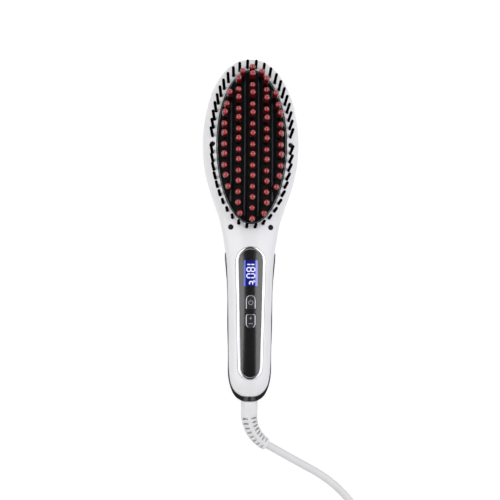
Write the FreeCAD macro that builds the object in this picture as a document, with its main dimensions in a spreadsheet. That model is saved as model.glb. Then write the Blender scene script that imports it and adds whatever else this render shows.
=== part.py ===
import FreeCAD, Part
import Sketcher
import math
import os
import re
from types import SimpleNamespace

# Heated styling brush, lying on its back with the bristles up.
# X runs across the brush, Y towards the tip of the head and Z up from the surface that it lies on.
# The origin is on that surface, under the middle of the body.

# Driving sizes, in millimetres, or degrees where the name ends in angle.
# Those that begin with an equals sign follow another size.
DRIVING_SIZES = [
    ("body_length", 250.0, "tip of the head to the end of the handle"),
    ("rim_width", 10.1, "white rim on each side of the heated oval"),
    ("handle_width", 31.6, "shells of the handle, side to side"),
    ("part_height", 13.0, "parting plane of the two shells above the rest plane"),
    ("head_rise", 19.8, "front form of the head above the parting plane"),
    ("handle_rise", 11.0, "front form of the handle above the parting plane"),
    ("back_depth", 14.2, "back form below the parting plane, cut flat where it lies"),
    ("shell_wall", 2.0, "wall of both shells"),
    ("fit_gap", 0.15, "clearance between pieces that are fitted together"),
    ("overrun", 1.0, "how far a cutting tool passes the face that it cuts"),
    ("trim_height", 3.0, "black band between the shells"),
    ("trim_proud", 0.4, "how far the band stands out beyond the shells"),
    ("trim_start", "=0.08 * body_length", "front ends of the band, behind the middle of the body"),
    ("tail_collar_width", 9.6, "round end of the band around the cord's swivel"),
    ("tail_collar_length", 13.0, "depth of that end into the handle"),
    ("plate_width", 50.6, "heated oval with its frame, across"),
    ("plate_length", "=0.4576 * body_length", "heated oval with its frame, along"),
    ("plate_tip_inset", "=0.0408 * body_length", "tip of the head to the end of the heated oval"),
    ("plate_lift", 13.0, "highest line of the plate above the parting plane"),
    ("plate_thick", 2.5, "aluminium heating plate"),
    ("arch_radius", "=1.08 * body_length", "lengthwise arch of the plate"),
    ("arch_setback", "=0.0304 * body_length", "highest line of the plate behind the oval's centre"),
    ("frame_wall", 1.4, "frame around the heating plate"),
    ("frame_depth", 5.0, "depth of that frame"),
    ("frame_lip", 1.3, "lip of the frame under the front shell"),
    ("frame_end_lip", 0.2, "the same lip at the ends of the oval"),
    ("frame_lip_thick", 1.5, "thickness of the lip"),
    ("frame_ledge", 1.8, "inner ledge that carries the plate"),
    ("rib_width", 5.4, "comb strip, across"),
    ("rib_height", 2.0, "comb strip without its teeth"),
    ("column_pitch", 9.9, "from one comb strip to the next"),
    ("tooth_pitch", "=0.06276 * plate_length", "from one tooth to the next along a strip"),
    ("tooth_inset", "=0.0367 * plate_length", "first tooth of the middle strip from the end of the oval"),
    ("tooth_edge", 3.0, "least room from a tooth to the edge of the plate"),
    ("tall_tooth", 12.5, "tall tooth with its cap, above the strip"),
    ("short_tooth", 9.4, "short tooth with its cap, above the strip"),
    ("tooth_foot", 3.8, "width of a tooth at its foot"),
    ("tooth_neck", 3.0, "width of a tooth under its cap"),
    ("cap_width", 4.4, "red cap on a tooth"),
    ("cap_skirt", 1.8, "straight part of that cap"),
    ("cap_dome", 1.9, "rounded part of that cap"),
    ("cap_crown", 1.9, "flat crown of that cap, across"),
    ("heater_thick", 0.8, "foil heater under the plate"),
    ("heater_width", 38.0, "foil heater, across"),
    ("heater_length", "=0.752 * plate_length", "foil heater, along"),
    ("pad_thick", 1.2, "insulating pad under the heater"),
    ("clamp_thick", 1.5, "clamp plate under the pad"),
    ("clamp_length", "=0.892 * plate_length", "clamp plate, along"),
    ("clamp_boss", 6.0, "bosses for the clamp screws, across"),
    ("clamp_screw_reach", "=0.42 * plate_length", "clamp screws from the oval's centre"),
    ("bristle_width", 1.6, "rim bristle at its root"),
    ("bristle_tip_width", 1.3, "rim bristle at its tip"),
    ("recess_width", 2.8, "round recess in the shell around a bristle"),
    ("recess_depth", 0.8, "depth of that recess"),
    ("bristle_reach", 17.0, "rim bristle above the shell"),
    ("bristle_reach_at_tip", 12.0, "the same at the tip of the head"),
    ("bristle_inset", 2.9, "row of bristles outside the oval, at its sides"),
    ("bristle_end_inset", 2.4, "row of bristles outside the oval, at its ends"),
    ("bristle_lean_angle", 8.0, "lean of the bristles towards the tip"),
    ("bristle_splay_angle", 3.0, "lean of the bristles outwards"),
    ("retainer_width", 3.4, "strip that holds the roots of the bristles"),
    ("retainer_thick", 1.5, "thickness of that strip"),
    ("retainer_drop", 0.6, "top of that strip below the parting plane"),
    ("screw_head_width", 3.7, "head of a case screw"),
    ("screw_head_thick", 1.5, "thickness of that head"),
    ("screw_width", 2.2, "shank of a case screw"),
    ("screw_length", 11.0, "shank of a case screw, along"),
    ("screw_boss_width", 5.4, "screw bosses in both shells"),
    ("screw_boss_length", 2.8, "boss of the front shell under a screw's head"),
    ("side_screw_seat", 8.4, "seat of the two side screws above the parting plane"),
    ("neck_screw_seat", 4.7, "seat of the two neck screws above the parting plane"),
    ("neck_screw_spread", 14.4, "neck screws from the middle line"),
    ("neck_screw_setback", 2.0, "neck screws behind the end of the oval"),
    ("panel_start", "=0.072 * body_length", "control panel's head end behind the middle of the body"),
    ("panel_length", "=0.3584 * body_length", "control panel, along"),
    ("panel_width", 17.0, "control panel at its head end"),
    ("panel_end_width", 13.1, "control panel at its tail end"),
    ("panel_proud", 0.5, "control panel above the shell"),
    ("panel_depth", 1.5, "control panel below the shell's surface"),
    ("ring_width", 2.2, "bright ring around the panel"),
    ("ring_proud", 0.9, "bright ring above the shell"),
    ("window_width", 9.7, "display window, across"),
    ("window_length", 18.3, "display window, along"),
    ("window_inset", 7.7, "display window behind the panel's head end"),
    ("button_width", 7.1, "push button, across"),
    ("button_length", 10.2, "push button, along"),
    ("button_inset", 6.2, "first button behind the window"),
    ("button_spacing", 3.2, "between the two buttons"),
    ("button_proud", 1.0, "push button above the shell"),
    ("button_gap", 0.3, "running gap around a button"),
    ("button_flange", 1.0, "flange that keeps a button in"),
    ("board_width", 20.0, "circuit board, across"),
    ("board_length", "=0.87 * panel_length", "circuit board, along"),
    ("board_thick", 1.6, "circuit board"),
    ("board_lift", 0.8, "circuit board above the parting plane"),
    ("board_inset", 2.0, "circuit board's head end behind the panel's"),
    ("board_post_width", 5.0, "posts under the board"),
    ("board_screw_inset", 2.6, "screws from the ends of the board"),
    ("board_screw_head", 3.6, "head of a board screw, across"),
    ("board_screw_head_thick", 1.1, "thickness of that head"),
    ("board_screw_width", 2.0, "shank of a board screw"),
    ("board_screw_length", 7.0, "shank of a board screw, along"),
    ("display_border", 1.1, "display module beyond the window"),
    ("switch_width", 6.0, "switch under a button"),
    ("switch_height", 3.4, "switch body on the board"),
    ("plunger_width", 3.0, "plunger of a switch"),
    ("plunger_room", 1.2, "free depth under the plunger"),
    ("capacitor_width", 8.0, "filter capacitor"),
    ("capacitor_length", 16.0, "filter capacitor, along"),
    ("relay_width", 7.5, "heater relay, across"),
    ("relay_length", 18.0, "heater relay, along"),
    ("relay_height", 8.5, "heater relay"),
    ("parts_spread", 5.0, "capacitor and relay from the middle line"),
    ("lead_width", 1.8, "heater leads"),
    ("lead_spread", 6.1, "heater leads from the middle line"),
    ("sensor_width", 4.0, "temperature sensor, across"),
    ("sensor_length", 9.0, "temperature sensor, along"),
    ("sensor_thick", 2.2, "temperature sensor"),
    ("fuse_width", 3.6, "thermal fuse"),
    ("fuse_length", 12.0, "thermal fuse, along"),
    ("bush_width", 7.8, "swivel bush in the tail"),
    ("swivel_width", 5.8, "hollow swivel shaft in that bush"),
    ("swivel_run", 0.05, "running clearance of the swivel shaft"),
    ("swivel_end_gap", 0.3, "end play of the swivel"),
    ("swivel_flange_width", 8.4, "flange that keeps the swivel in"),
    ("swivel_flange_thick", 1.6, "thickness of that flange"),
    ("swivel_inner_length", 7.0, "swivel shaft inside the flange"),
    ("contact_width", 7.4, "brass contact rings on the shaft"),
    ("contact_thick", 1.4, "one contact ring, along"),
    ("contact_pitch", 3.0, "from one contact ring to the next"),
    ("contact_gap", 0.1, "contact spring below its ring"),
    ("contact_spring_thick", 0.8, "contact spring"),
    ("contact_block_width", 11.0, "block under the contact springs, across"),
    ("contact_block_lift", 2.0, "that block above the floor of the back shell"),
    ("relief_width", 11.7, "strain relief at the handle"),
    ("relief_end_width", 8.8, "strain relief at the cord"),
    ("relief_collar", 9.0, "plain part of the strain relief"),
    ("relief_bend_radius", 25.0, "bend of the strain relief"),
    ("relief_turn_angle", 60.0, "how far it bends aside"),
    ("relief_droop_angle", 15.0, "slope of the plane that it bends in"),
    ("relief_core_width", 6.2, "core inside its slots"),
    ("relief_spine_width", 2.6, "spine left between its slots"),
    ("relief_rail_width", 0.9, "rail left outside its slots"),
    ("relief_slot", 1.3, "one slot, along"),
    ("relief_slot_pitch", 3.0, "from one slot to the next"),
    ("cord_width", 5.4, "mains cord"),
    ("coil_inner_radius", 21.3, "inmost loop of the put-away cord"),
    ("coil_step", 5.9, "from one loop to the next, across and up"),
    ("coil_lift", 1.5, "loops above the surface, to clear the tie"),
    ("tie_width", 6.0, "strap around the coil"),
    ("tie_thick", 1.0, "thickness of that strap"),
    ("tie_gap", 1.1, "strap's clearance around the loops"),
    ("plug_length", 36.0, "mains plug without its pins"),
    ("plug_width", 34.0, "mains plug, across"),
    ("plug_thick", 16.0, "mains plug"),
    ("plug_grip_width", 9.2, "mains plug where the cord enters"),
    ("pin_width", 4.0, "plug pin"),
    ("pin_length", 19.0, "plug pin, along"),
    ("pin_spacing", 19.0, "between the plug's pins"),
]

# Sections of the body, as shares: along half the length, then of the head's and the handle's
# half width, of the head's and the handle's rise, and of the depth of the back
BODY_STATION_SHARES = [
    (0.9992, 0.070, 0.0, 0.045, 0.0, 0.063),
    (0.992, 0.200, 0.0, 0.110, 0.0, 0.170),
    (0.976, 0.336, 0.0, 0.180, 0.0, 0.295),
    (0.950, 0.458, 0.0, 0.250, 0.0, 0.420),
    (0.912, 0.585, 0.0, 0.333, 0.0, 0.555),
    (0.840, 0.740, 0.0, 0.480, 0.0, 0.725),
    (0.755, 0.862, 0.0, 0.652, 0.0, 0.860),
    (0.632, 0.958, 0.0, 0.848, 0.0, 0.958),
    (0.512, 0.999, 0.0, 0.960, 0.0, 1.000),
    (0.400, 0.986, 0.0, 1.000, 0.0, 1.000),
    (0.272, 0.912, 0.0, 0.955, 0.0, 0.980),
    (0.154, 0.782, 0.0, 0.823, 0.0, 0.915),
    (0.080, 0.500, 0.418, 0.450, 0.381, 0.860),
    (0.008, 0.300, 0.701, 0.180, 0.549, 0.824),
    (-0.072, 0.150, 0.904, 0.050, 0.737, 0.817),
    (-0.160, 0.0, 1.139, 0.0, 0.855, 0.845),
    (-0.312, 0.0, 1.044, 0.0, 0.945, 0.937),
    (-0.480, 0.0, 1.000, 0.0, 1.000, 0.986),
    (-0.656, 0.0, 0.975, 0.0, 0.982, 1.000),
    (-0.800, 0.0, 0.956, 0.0, 0.918, 0.972),
    (-0.880, 0.0, 0.899, 0.0, 0.836, 0.908),
    (-0.928, 0.0, 0.778, 0.0, 0.736, 0.790),
    (-0.957, 0.0, 0.595, 0.0, 0.636, 0.630),
    (-0.973, 0.0, 0.400, 0.0, 0.520, 0.420),
]
CAVITY_STATIONS = [2, 3, 4, 5, 6, 7, 8, 9, 10, 11, 12, 13, 15, 17, 19, 20, 21, 22]
HANDLE_STATIONS = range(13, 22)

# Sections of the band: along half the length, and of the handle's half width
TRIM_STATION_SHARES = [
    (-0.160, 1.139),
    (-0.312, 1.044),
    (-0.480, 1.000),
    (-0.656, 0.975),
    (-0.800, 0.956),
    (-0.880, 0.918),
    (-0.930, 0.815),
    (-0.960, 0.710),
    (-0.982, 0.575),
    (-0.995, 0.430),
    (-1.000, 0.350),
]
TRIM_ROUND_SHARE = 0.95

# Sections of the plug: along its length, and of its width and thickness
PLUG_STATION_SHARES = [
    (0.0, 0.0, 0.0),
    (0.22, 0.10, 0.15),
    (0.48, 0.70, 0.90),
    (0.85, 1.00, 1.00),
    (1.00, 0.97, 0.92),
]

COMB_COLUMNS = [("left_outer", -2), ("left_inner", -1), ("centre", 0), ("right_inner", 1), ("right_outer", 2)]
CENTRE_TEETH = 16
OUTER_FIRST_ROW = 3
OUTER_TEETH = 10
BRISTLE_PLACES = 46
LEAN_START_SHARE = 0.10
LEAN_FULL_SHARE = 0.45
SHORTEN_START_SHARE = 0.75
RELIEF_SLOTS = 8
RELIEF_STATIONS = 7
COIL_LOOPS = 4
STEPS_PER_PLACE = 40
SEAM_ANGLE = 45
BEND_SHARE = 0.45

# Heights inside the handle, as shares of its rise where they are used
DISPLAY_RISE_SHARE = 0.82
BUTTON_RISE_SHARE = 0.92
CAPACITOR_PLACE_SHARE = 0.55
RELAY_PLACE_SHARE = 0.58
SENSOR_PLACE_SHARE = 0.12
FUSE_PLACE_SHARE = -0.12

# The cord from the strain relief to the coil, chosen by hand after its first straight run
CORD_FIRST_RUN = 26.0
CORD_POINTS = [
    (60.0, -183.0, 3.1),
    (80.0, -204.0, 3.4),
    (91.6, -230.0, 4.2),
]
COIL_START = (91.6, -252.0)
TAIL_POINTS = [
    (0.0, -13.0, 0.0),
    (1.6, -28.0, -2.2),
    (3.6, -41.0, -2.2),
]

doc = FreeCAD.newDocument("StylingBrush")
sheet = doc.addObject("Spreadsheet::Sheet", "Sizes")
for row, (alias, number, meaning) in enumerate(DRIVING_SIZES, start=1):
    sheet.set(f"A{row}", meaning)
    sheet.set(f"B{row}", str(number))
    sheet.setAlias(f"B{row}", alias)
doc.recompute()
size = SimpleNamespace(**{alias: sheet.get(alias) for alias, number, meaning in DRIVING_SIZES})
ALIASES = {alias for alias, number, meaning in DRIVING_SIZES}
PIECES = []

# Places that several pieces share, written over the sheet's names
HALF_LENGTH = "(body_length / 2)"
HEAD_HALF = "((plate_width / 2) + rim_width)"
OVAL_Y = "(body_length / 2 - plate_tip_inset - plate_length / 2)"
ARCH_Y = "(body_length / 2 - plate_tip_inset - plate_length / 2 - arch_setback)"
ARCH_Z = "(part_height + plate_lift - arch_radius)"
PLATE_HALF_X = "(plate_width / 2 - frame_wall - fit_gap)"
PLATE_HALF_Y = "(plate_length / 2 - frame_wall - fit_gap)"
ABOVE = "(part_height + head_rise + overrun)"
BELOW = "(0 - overrun)"
BOARD_TOP = "(part_height + board_lift + board_thick)"
BOARD_HEAD_END = "(0 - panel_start - board_inset)"
WINDOW_START = "(0 - panel_start - window_inset)"
POWER_START = "(0 - panel_start - window_inset - window_length - button_inset)"
TEMPERATURE_START = f"({POWER_START} - button_length - button_spacing)"
FLANGE_TOP = f"(part_height + {BUTTON_RISE_SHARE} * handle_rise - panel_depth - button_gap)"
TAIL_END = "(0 - body_length / 2)"
BUSH_END = "(tail_collar_length - body_length / 2)"


def cells(text):
    """An expression over the sheet's cells, from one that uses their bare names."""
    return re.sub(r"[a-z][a-z_]*", lambda word: f"Sizes.{word.group()}" if word.group() in ALIASES
                  else word.group(), text)


def bind(obj, **expressions):
    for prop, text in expressions.items():
        obj.setExpression(prop.replace("__", "."), cells(str(text)))
    return obj


def put(obj, x="0", y="0", z="0"):
    return bind(obj, Placement__Base__x=x, Placement__Base__y=y, Placement__Base__z=z)


def turn(obj, axis, degrees):
    obj.Placement = FreeCAD.Placement(obj.Placement.Base, FreeCAD.Rotation(FreeCAD.Vector(*axis), degrees))
    return obj


def box(name, x, y, z):
    """A box between three pairs of expressions."""
    obj = doc.addObject("Part::Box", name)
    bind(obj, Length=f"({x[1]}) - ({x[0]})", Width=f"({y[1]}) - ({y[0]})", Height=f"({z[1]}) - ({z[0]})")
    return put(obj, x[0], y[0], z[0])


def rod(name, width, length, x="0", y="0", z="0"):
    """An upright round rod on the point x, y, z."""
    obj = doc.addObject("Part::Cylinder", name)
    bind(obj, Radius=f"({width}) / 2", Height=length)
    return put(obj, x, y, z)


def lying_rod(name, width, start, end, x="0", z="part_height"):
    """A round rod along Y from start up to end, with its seam clear of the parting plane."""
    obj = doc.addObject("Part::Cylinder", name)
    lying = FreeCAD.Rotation(FreeCAD.Vector(1, 0, 0), -90)
    obj.Placement.Rotation = lying.multiply(FreeCAD.Rotation(FreeCAD.Vector(0, 0, 1), SEAM_ANGLE))
    bind(obj, Radius=f"({width}) / 2", Height=f"({end}) - ({start})")
    return put(obj, x, start, z)


def fuse(name, shapes):
    obj = doc.addObject("Part::MultiFuse", name)
    obj.Shapes = shapes
    return obj


def group(name, shapes):
    obj = doc.addObject("Part::Compound", name)
    obj.Links = shapes
    return obj


def cut(name, base, tools):
    obj = doc.addObject("Part::Cut", name)
    obj.Base = base
    obj.Tool = tools[0] if len(tools) == 1 else fuse(name + "_tools", tools)
    return obj


def overlap(name, shapes):
    obj = doc.addObject("Part::MultiCommon", name)
    obj.Shapes = shapes
    return obj


def piece(obj):
    PIECES.append(obj)
    return obj


def body_width(row):
    return f"({row[1]} * {HEAD_HALF} + {row[2]} * handle_width / 2)"


def front_rise(row):
    return f"({row[3]} * head_rise + {row[4]} * handle_rise)"


def back_fall(row):
    return f"({row[5]} * back_depth)"


def loft(name, sections, ruled=False):
    obj = doc.addObject("Part::Loft", name)
    obj.Sections = sections
    obj.Solid = True
    obj.Ruled = ruled
    obj.MaxDegree = 3
    return obj


def section(name, half_width, half_height, y, z="part_height", x="0"):
    """An upright ellipse across the brush."""
    obj = doc.addObject("Part::Ellipse", name)
    turn(obj, (1, 0, 0), 90)
    bind(obj, MajorRadius=half_width, MinorRadius=half_height)
    return put(obj, x, y, z)


def body_form(name, stations, height, grow="0", ruled=False):
    """The brush's moulded form through some of its stations, grown alike all round."""
    sections = []
    for number in stations:
        row = BODY_STATION_SHARES[number]
        sections.append(section(f"{name}_{number}", f"{body_width(row)} + ({grow})", f"{height(row)} + ({grow})",
                                f"{row[0]} * (body_length / 2 + ({grow}))"))
    return loft(name, sections, ruled)


def extrude(name, profile, length):
    obj = doc.addObject("Part::Extrusion", name)
    obj.Base = profile
    obj.DirMode = "Custom"
    obj.Dir = FreeCAD.Vector(0, 0, 1)
    obj.Solid = True
    bind(obj, LengthFwd=length)
    return obj


def oval(name, half_x, half_y, bottom, top):
    """An upright oval prism on the centre of the heated oval."""
    profile = doc.addObject("Part::Ellipse", name + "_profile")
    turn(profile, (0, 0, 1), 90)
    bind(profile, MajorRadius=half_y, MinorRadius=half_x)
    put(profile, "0", OVAL_Y, bottom)
    return extrude(name, profile, f"({top}) - ({bottom})")


def arch(name, above, below):
    """A sheet that follows the plate's arch, between two heights over its top face."""
    outer = doc.addObject("Part::Cylinder", name + "_outer")
    inner = doc.addObject("Part::Cylinder", name + "_inner")
    for drum, level, reach in ((outer, above, "0"), (inner, below, "overrun")):
        turn(drum, (0, 1, 0), 90)
        bind(drum, Radius=f"arch_radius + ({level})", Height=f"2 * ({HEAD_HALF} + {reach})")
        put(drum, f"0 - {HEAD_HALF} - {reach}", ARCH_Y, ARCH_Z)
    return cut(name, outer, [inner])


def arched_oval(name, half_x, half_y, above, below):
    return overlap(name, [oval(name + "_oval", half_x, half_y, BELOW, ABOVE), arch(name + "_arch", above, below)])


def panel_profile(name, grow):
    """Outline of the control panel: two round ends of unlike width and the lines that touch both."""
    head = size.panel_width / 2
    tail = size.panel_end_width / 2
    head_y = -size.panel_start - head
    tail_y = -size.panel_start - size.panel_length + tail
    slope = math.asin((head - tail) / (head_y - tail_y))
    up = FreeCAD.Vector(0, 0, 1)
    sketch = doc.addObject("Sketcher::SketchObject", name)
    round_head = Part.ArcOfCircle(Part.Circle(FreeCAD.Vector(0, head_y, 0), up, head), -slope, math.pi + slope)
    round_tail = Part.ArcOfCircle(Part.Circle(FreeCAD.Vector(0, tail_y, 0), up, tail), math.pi + slope,
                                  2 * math.pi - slope)
    left = Part.LineSegment(round_head.EndPoint, round_tail.StartPoint)
    right = Part.LineSegment(round_tail.EndPoint, round_head.StartPoint)
    for shape in (round_head, left, round_tail, right):
        sketch.addGeometry(shape)
    for first, second in ((0, 1), (1, 2), (2, 3), (3, 0)):
        sketch.addConstraint(Sketcher.Constraint("Tangent", first, 2, second, 1))
    for number in (0, 2):
        sketch.addConstraint(Sketcher.Constraint("PointOnObject", number, 3, -2))
    named = (
        ("head_radius", Sketcher.Constraint("Radius", 0, head), f"panel_width / 2 + ({grow})"),
        ("tail_radius", Sketcher.Constraint("Radius", 2, tail), f"panel_end_width / 2 + ({grow})"),
        ("head_place", Sketcher.Constraint("DistanceY", 0, 3, -1, 1, -head_y), "panel_start + panel_width / 2"),
        ("tail_place", Sketcher.Constraint("DistanceY", 2, 3, -1, 1, -tail_y),
         "panel_start + panel_length - panel_end_width / 2"),
    )
    for label, constraint, text in named:
        sketch.renameConstraint(sketch.addConstraint(constraint), label)
        bind(sketch, **{f"Constraints__{label}": text})
    return put(sketch, "0", "0", "part_height")


def panel_prism(name, grow):
    return extrude(name, panel_profile(name + "_profile", grow), "head_rise + overrun")


SCREW_PLACES = [
    ("side_left", "0 - (plate_width / 2 + bristle_inset)", OVAL_Y, "side_screw_seat"),
    ("side_right", "plate_width / 2 + bristle_inset", OVAL_Y, "side_screw_seat"),
    ("neck_left", "0 - neck_screw_spread", f"{OVAL_Y} - plate_length / 2 - neck_screw_setback", "neck_screw_seat"),
    ("neck_right", "neck_screw_spread", f"{OVAL_Y} - plate_length / 2 - neck_screw_setback", "neck_screw_seat"),
]
BOARD_SCREW_PLACES = [
    ("head", f"{BOARD_HEAD_END} - board_screw_inset"),
    ("tail", f"{BOARD_HEAD_END} - board_length + board_screw_inset"),
]


def station_value(y, read):
    """A size of the body at a place along it, on a straight line between its stations."""
    rows = [(row[0] * size.body_length / 2, read(row)) for row in BODY_STATION_SHARES]
    for (high, at_high), (low, at_low) in zip(rows, rows[1:]):
        if low <= y <= high:
            return at_low + (at_high - at_low) * (y - low) / (high - low)
    return 0.0


def front_surface(x, y):
    """Height of the front shell's outside over the rest plane."""
    head_half = size.plate_width / 2 + size.rim_width
    half = station_value(y, lambda row: row[1] * head_half + row[2] * size.handle_width / 2)
    rise = station_value(y, lambda row: row[3] * size.head_rise + row[4] * size.handle_rise)
    return size.part_height + rise * math.sqrt(max(0.0, 1.0 - (x / half) ** 2))


def oval_y():
    return size.body_length / 2 - size.plate_tip_inset - size.plate_length / 2


def even_places(half_x, half_y, count):
    """Places at even steps along an oval, half a step clear of its long axis."""
    fine = STEPS_PER_PLACE * count
    points = [(half_x * math.sin(2 * math.pi * i / fine), half_y * math.cos(2 * math.pi * i / fine))
              for i in range(fine + 1)]
    run = [0.0]
    for (x0, y0), (x1, y1) in zip(points, points[1:]):
        run.append(run[-1] + math.hypot(x1 - x0, y1 - y0))
    places = []
    for number in range(count):
        wanted = run[-1] * (number + 0.5) / count
        nearest = min(range(fine + 1), key=lambda i: abs(run[i] - wanted))
        places.append(points[nearest])
    return places


def bristle_frames():
    """Root point, direction and free length of every rim bristle."""
    half_x = size.plate_width / 2 + size.bristle_inset
    half_y = size.plate_length / 2 + size.bristle_end_inset
    root_z = size.part_height - size.retainer_drop + size.fit_gap
    frames = []
    for number, (x, along) in enumerate(even_places(half_x, half_y, BRISTLE_PLACES)):
        if number in (BRISTLE_PLACES // 4, BRISTLE_PLACES - 1 - BRISTLE_PLACES // 4):
            continue
        share = (along / half_y + 1) / 2
        ramp = min(1.0, max(0.0, (share - LEAN_START_SHARE) / (LEAN_FULL_SHARE - LEAN_START_SHARE)))
        lean = math.tan(math.radians(size.bristle_lean_angle * ramp))
        splay = math.tan(math.radians(size.bristle_splay_angle)) * x / half_x
        direction = FreeCAD.Vector(splay, lean, 1).normalize()
        shorten = max(0.0, (share - SHORTEN_START_SHARE) / (1 - SHORTEN_START_SHARE))
        reach = size.bristle_reach - (size.bristle_reach - size.bristle_reach_at_tip) * shorten ** 2
        surface = FreeCAD.Vector(x, oval_y() + along, front_surface(x, oval_y() + along))
        root = surface - direction * ((surface.z - root_z) / direction.z)
        frames.append((root, direction, (surface - root).Length, reach))
    return frames


def along_direction(root, direction):
    return FreeCAD.Placement(root, FreeCAD.Rotation(FreeCAD.Vector(0, 0, 1), direction))


def build_front_shell():
    outer = body_form("front_outer", range(len(BODY_STATION_SHARES)), front_rise)
    upper = box("front_half", (f"0 - {HEAD_HALF} - overrun", f"{HEAD_HALF} + overrun"),
                (f"0 - {HALF_LENGTH} - overrun", f"{HALF_LENGTH} + overrun"), ("part_height", ABOVE))
    cavity = body_form("front_cavity", CAVITY_STATIONS, front_rise, "0 - shell_wall", ruled=True)
    hollow = cut("front_hollow", overlap("front_solid", [outer, upper]), [cavity])
    bosses = []
    tools = [
        oval("front_oval_opening", "plate_width / 2 + fit_gap", "plate_length / 2 + fit_gap", "part_height", ABOVE),
        panel_prism("front_panel_opening", "ring_width + fit_gap"),
        trim_room("front_trim_room", "part_height - overrun", "part_height + trim_height / 2"),
        lying_rod("front_collar_room", "tail_collar_width + 2 * fit_gap", f"{TAIL_END} - overrun",
                  f"{BUSH_END} + fit_gap"),
    ]
    for label, x, y, seat in SCREW_PLACES:
        bottom = f"part_height + {seat} - screw_boss_length"
        boss = rod(f"front_boss_{label}", "screw_boss_width", f"head_rise - {seat} + screw_boss_length", x, y, bottom)
        bosses.append(overlap(f"front_boss_{label}_trimmed", [boss, outer]))
        tools.append(rod(f"front_screw_way_{label}", "screw_width + 2 * fit_gap", "head_rise", x, y, "part_height"))
        tools.append(rod(f"front_head_way_{label}", "screw_head_width + 2 * fit_gap", "head_rise", x, y,
                         f"part_height + {seat}"))
    for number, (root, direction, inside, reach) in enumerate(bristle_frames()):
        hole = doc.addObject("Part::Cylinder", f"front_bristle_hole_{number}")
        bind(hole, Radius="bristle_width / 2 + fit_gap")
        hole.Height = inside + reach
        hole.Placement = along_direction(root, direction)
        recess = doc.addObject("Part::Cylinder", f"front_bristle_recess_{number}")
        bind(recess, Radius="recess_width / 2")
        recess.Height = size.recess_depth + reach
        recess.Placement = along_direction(root + direction * (inside - size.recess_depth), direction)
        tools += [hole, recess]
    return piece(cut("front_shell", fuse("front_with_bosses", [hollow] + bosses), tools))


def trim_room(name, bottom, top):
    """Room in a shell's edge for the band, from its front ends to the tail."""
    return box(name, ("0 - handle_width", "handle_width"), (f"{TAIL_END} - overrun", "0 - trim_start"), (bottom, top))


def build_back_shell():
    outer = body_form("back_outer", range(len(BODY_STATION_SHARES)), back_fall)
    lower = box("back_half", (f"0 - {HEAD_HALF} - overrun", f"{HEAD_HALF} + overrun"),
                (f"0 - {HALF_LENGTH} - overrun", f"{HALF_LENGTH} + overrun"), ("0", "part_height"))
    cavity_form = body_form("back_cavity_form", CAVITY_STATIONS, back_fall, "0 - shell_wall", ruled=True)
    floor = box("back_floor_limit", (f"0 - {HEAD_HALF}", HEAD_HALF), (f"0 - {HALF_LENGTH}", HALF_LENGTH),
                ("shell_wall", ABOVE))
    collar_room = lying_rod("back_collar_room", "tail_collar_width + 2 * fit_gap", f"{TAIL_END} - overrun",
                            f"{BUSH_END} + fit_gap")
    solid = cut("back_solid", overlap("back_lower_form", [outer, lower]), [collar_room])
    hollow = cut("back_hollow", solid, [overlap("back_cavity", [cavity_form, floor])])
    posts = []
    tools = [trim_room("back_trim_room", "part_height - trim_height / 2", "part_height + overrun")]
    for label, x, y, seat in SCREW_PLACES:
        top = f"{seat} - screw_boss_length - fit_gap"
        lower_post = rod(f"back_post_{label}", "screw_boss_width", "part_height", x, y, "0")
        posts.append(overlap(f"back_post_{label}_trimmed", [lower_post, outer, lower]))
        posts.append(rod(f"back_post_{label}_top", "screw_boss_width", top, x, y, "part_height"))
        tools.append(rod(f"back_pilot_{label}", "screw_width", "screw_length + overrun", x, y,
                         f"part_height + {seat} - screw_length"))
    for label, y in BOARD_SCREW_PLACES:
        post = rod(f"back_board_post_{label}", "board_post_width", "part_height + board_lift - shell_wall / 2",
                   "0", y, "shell_wall / 2")
        posts.append(post)
        tools.append(rod(f"back_board_pilot_{label}", "board_screw_width", "board_screw_length", "0", y,
                         "part_height + board_lift + board_thick - board_screw_length"))
    return piece(cut("back_shell", fuse("back_with_posts", [hollow] + posts), tools))


def build_handle_trim():
    sections = []
    for number, (along, wide) in enumerate(TRIM_STATION_SHARES):
        half = f"({wide} * handle_width / 2 + trim_proud)"
        sections.append(section(f"trim_{number}", half, f"{TRIM_ROUND_SHARE} * {half}", f"{along} * body_length / 2"))
    form = loft("trim_form", sections)
    slab = box("trim_slab", ("0 - handle_width", "handle_width"),
               (TAIL_END, "0 - trim_start - fit_gap"),
               ("part_height - trim_height / 2 + fit_gap", "part_height + trim_height / 2 - fit_gap"))
    inner = body_form("trim_inner", HANDLE_STATIONS, lambda row: body_width(row), "0 - shell_wall", ruled=True)
    band = cut("trim_band", overlap("trim_solid", [form, slab]), [inner])
    collar = lying_rod("trim_collar", "tail_collar_width", TAIL_END, BUSH_END)
    bore = lying_rod("trim_bore", "bush_width + fit_gap", f"{TAIL_END} - overrun", f"{BUSH_END} + overrun")
    return piece(cut("handle_trim", fuse("trim_with_collar", [band, collar]), [bore]))


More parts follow.
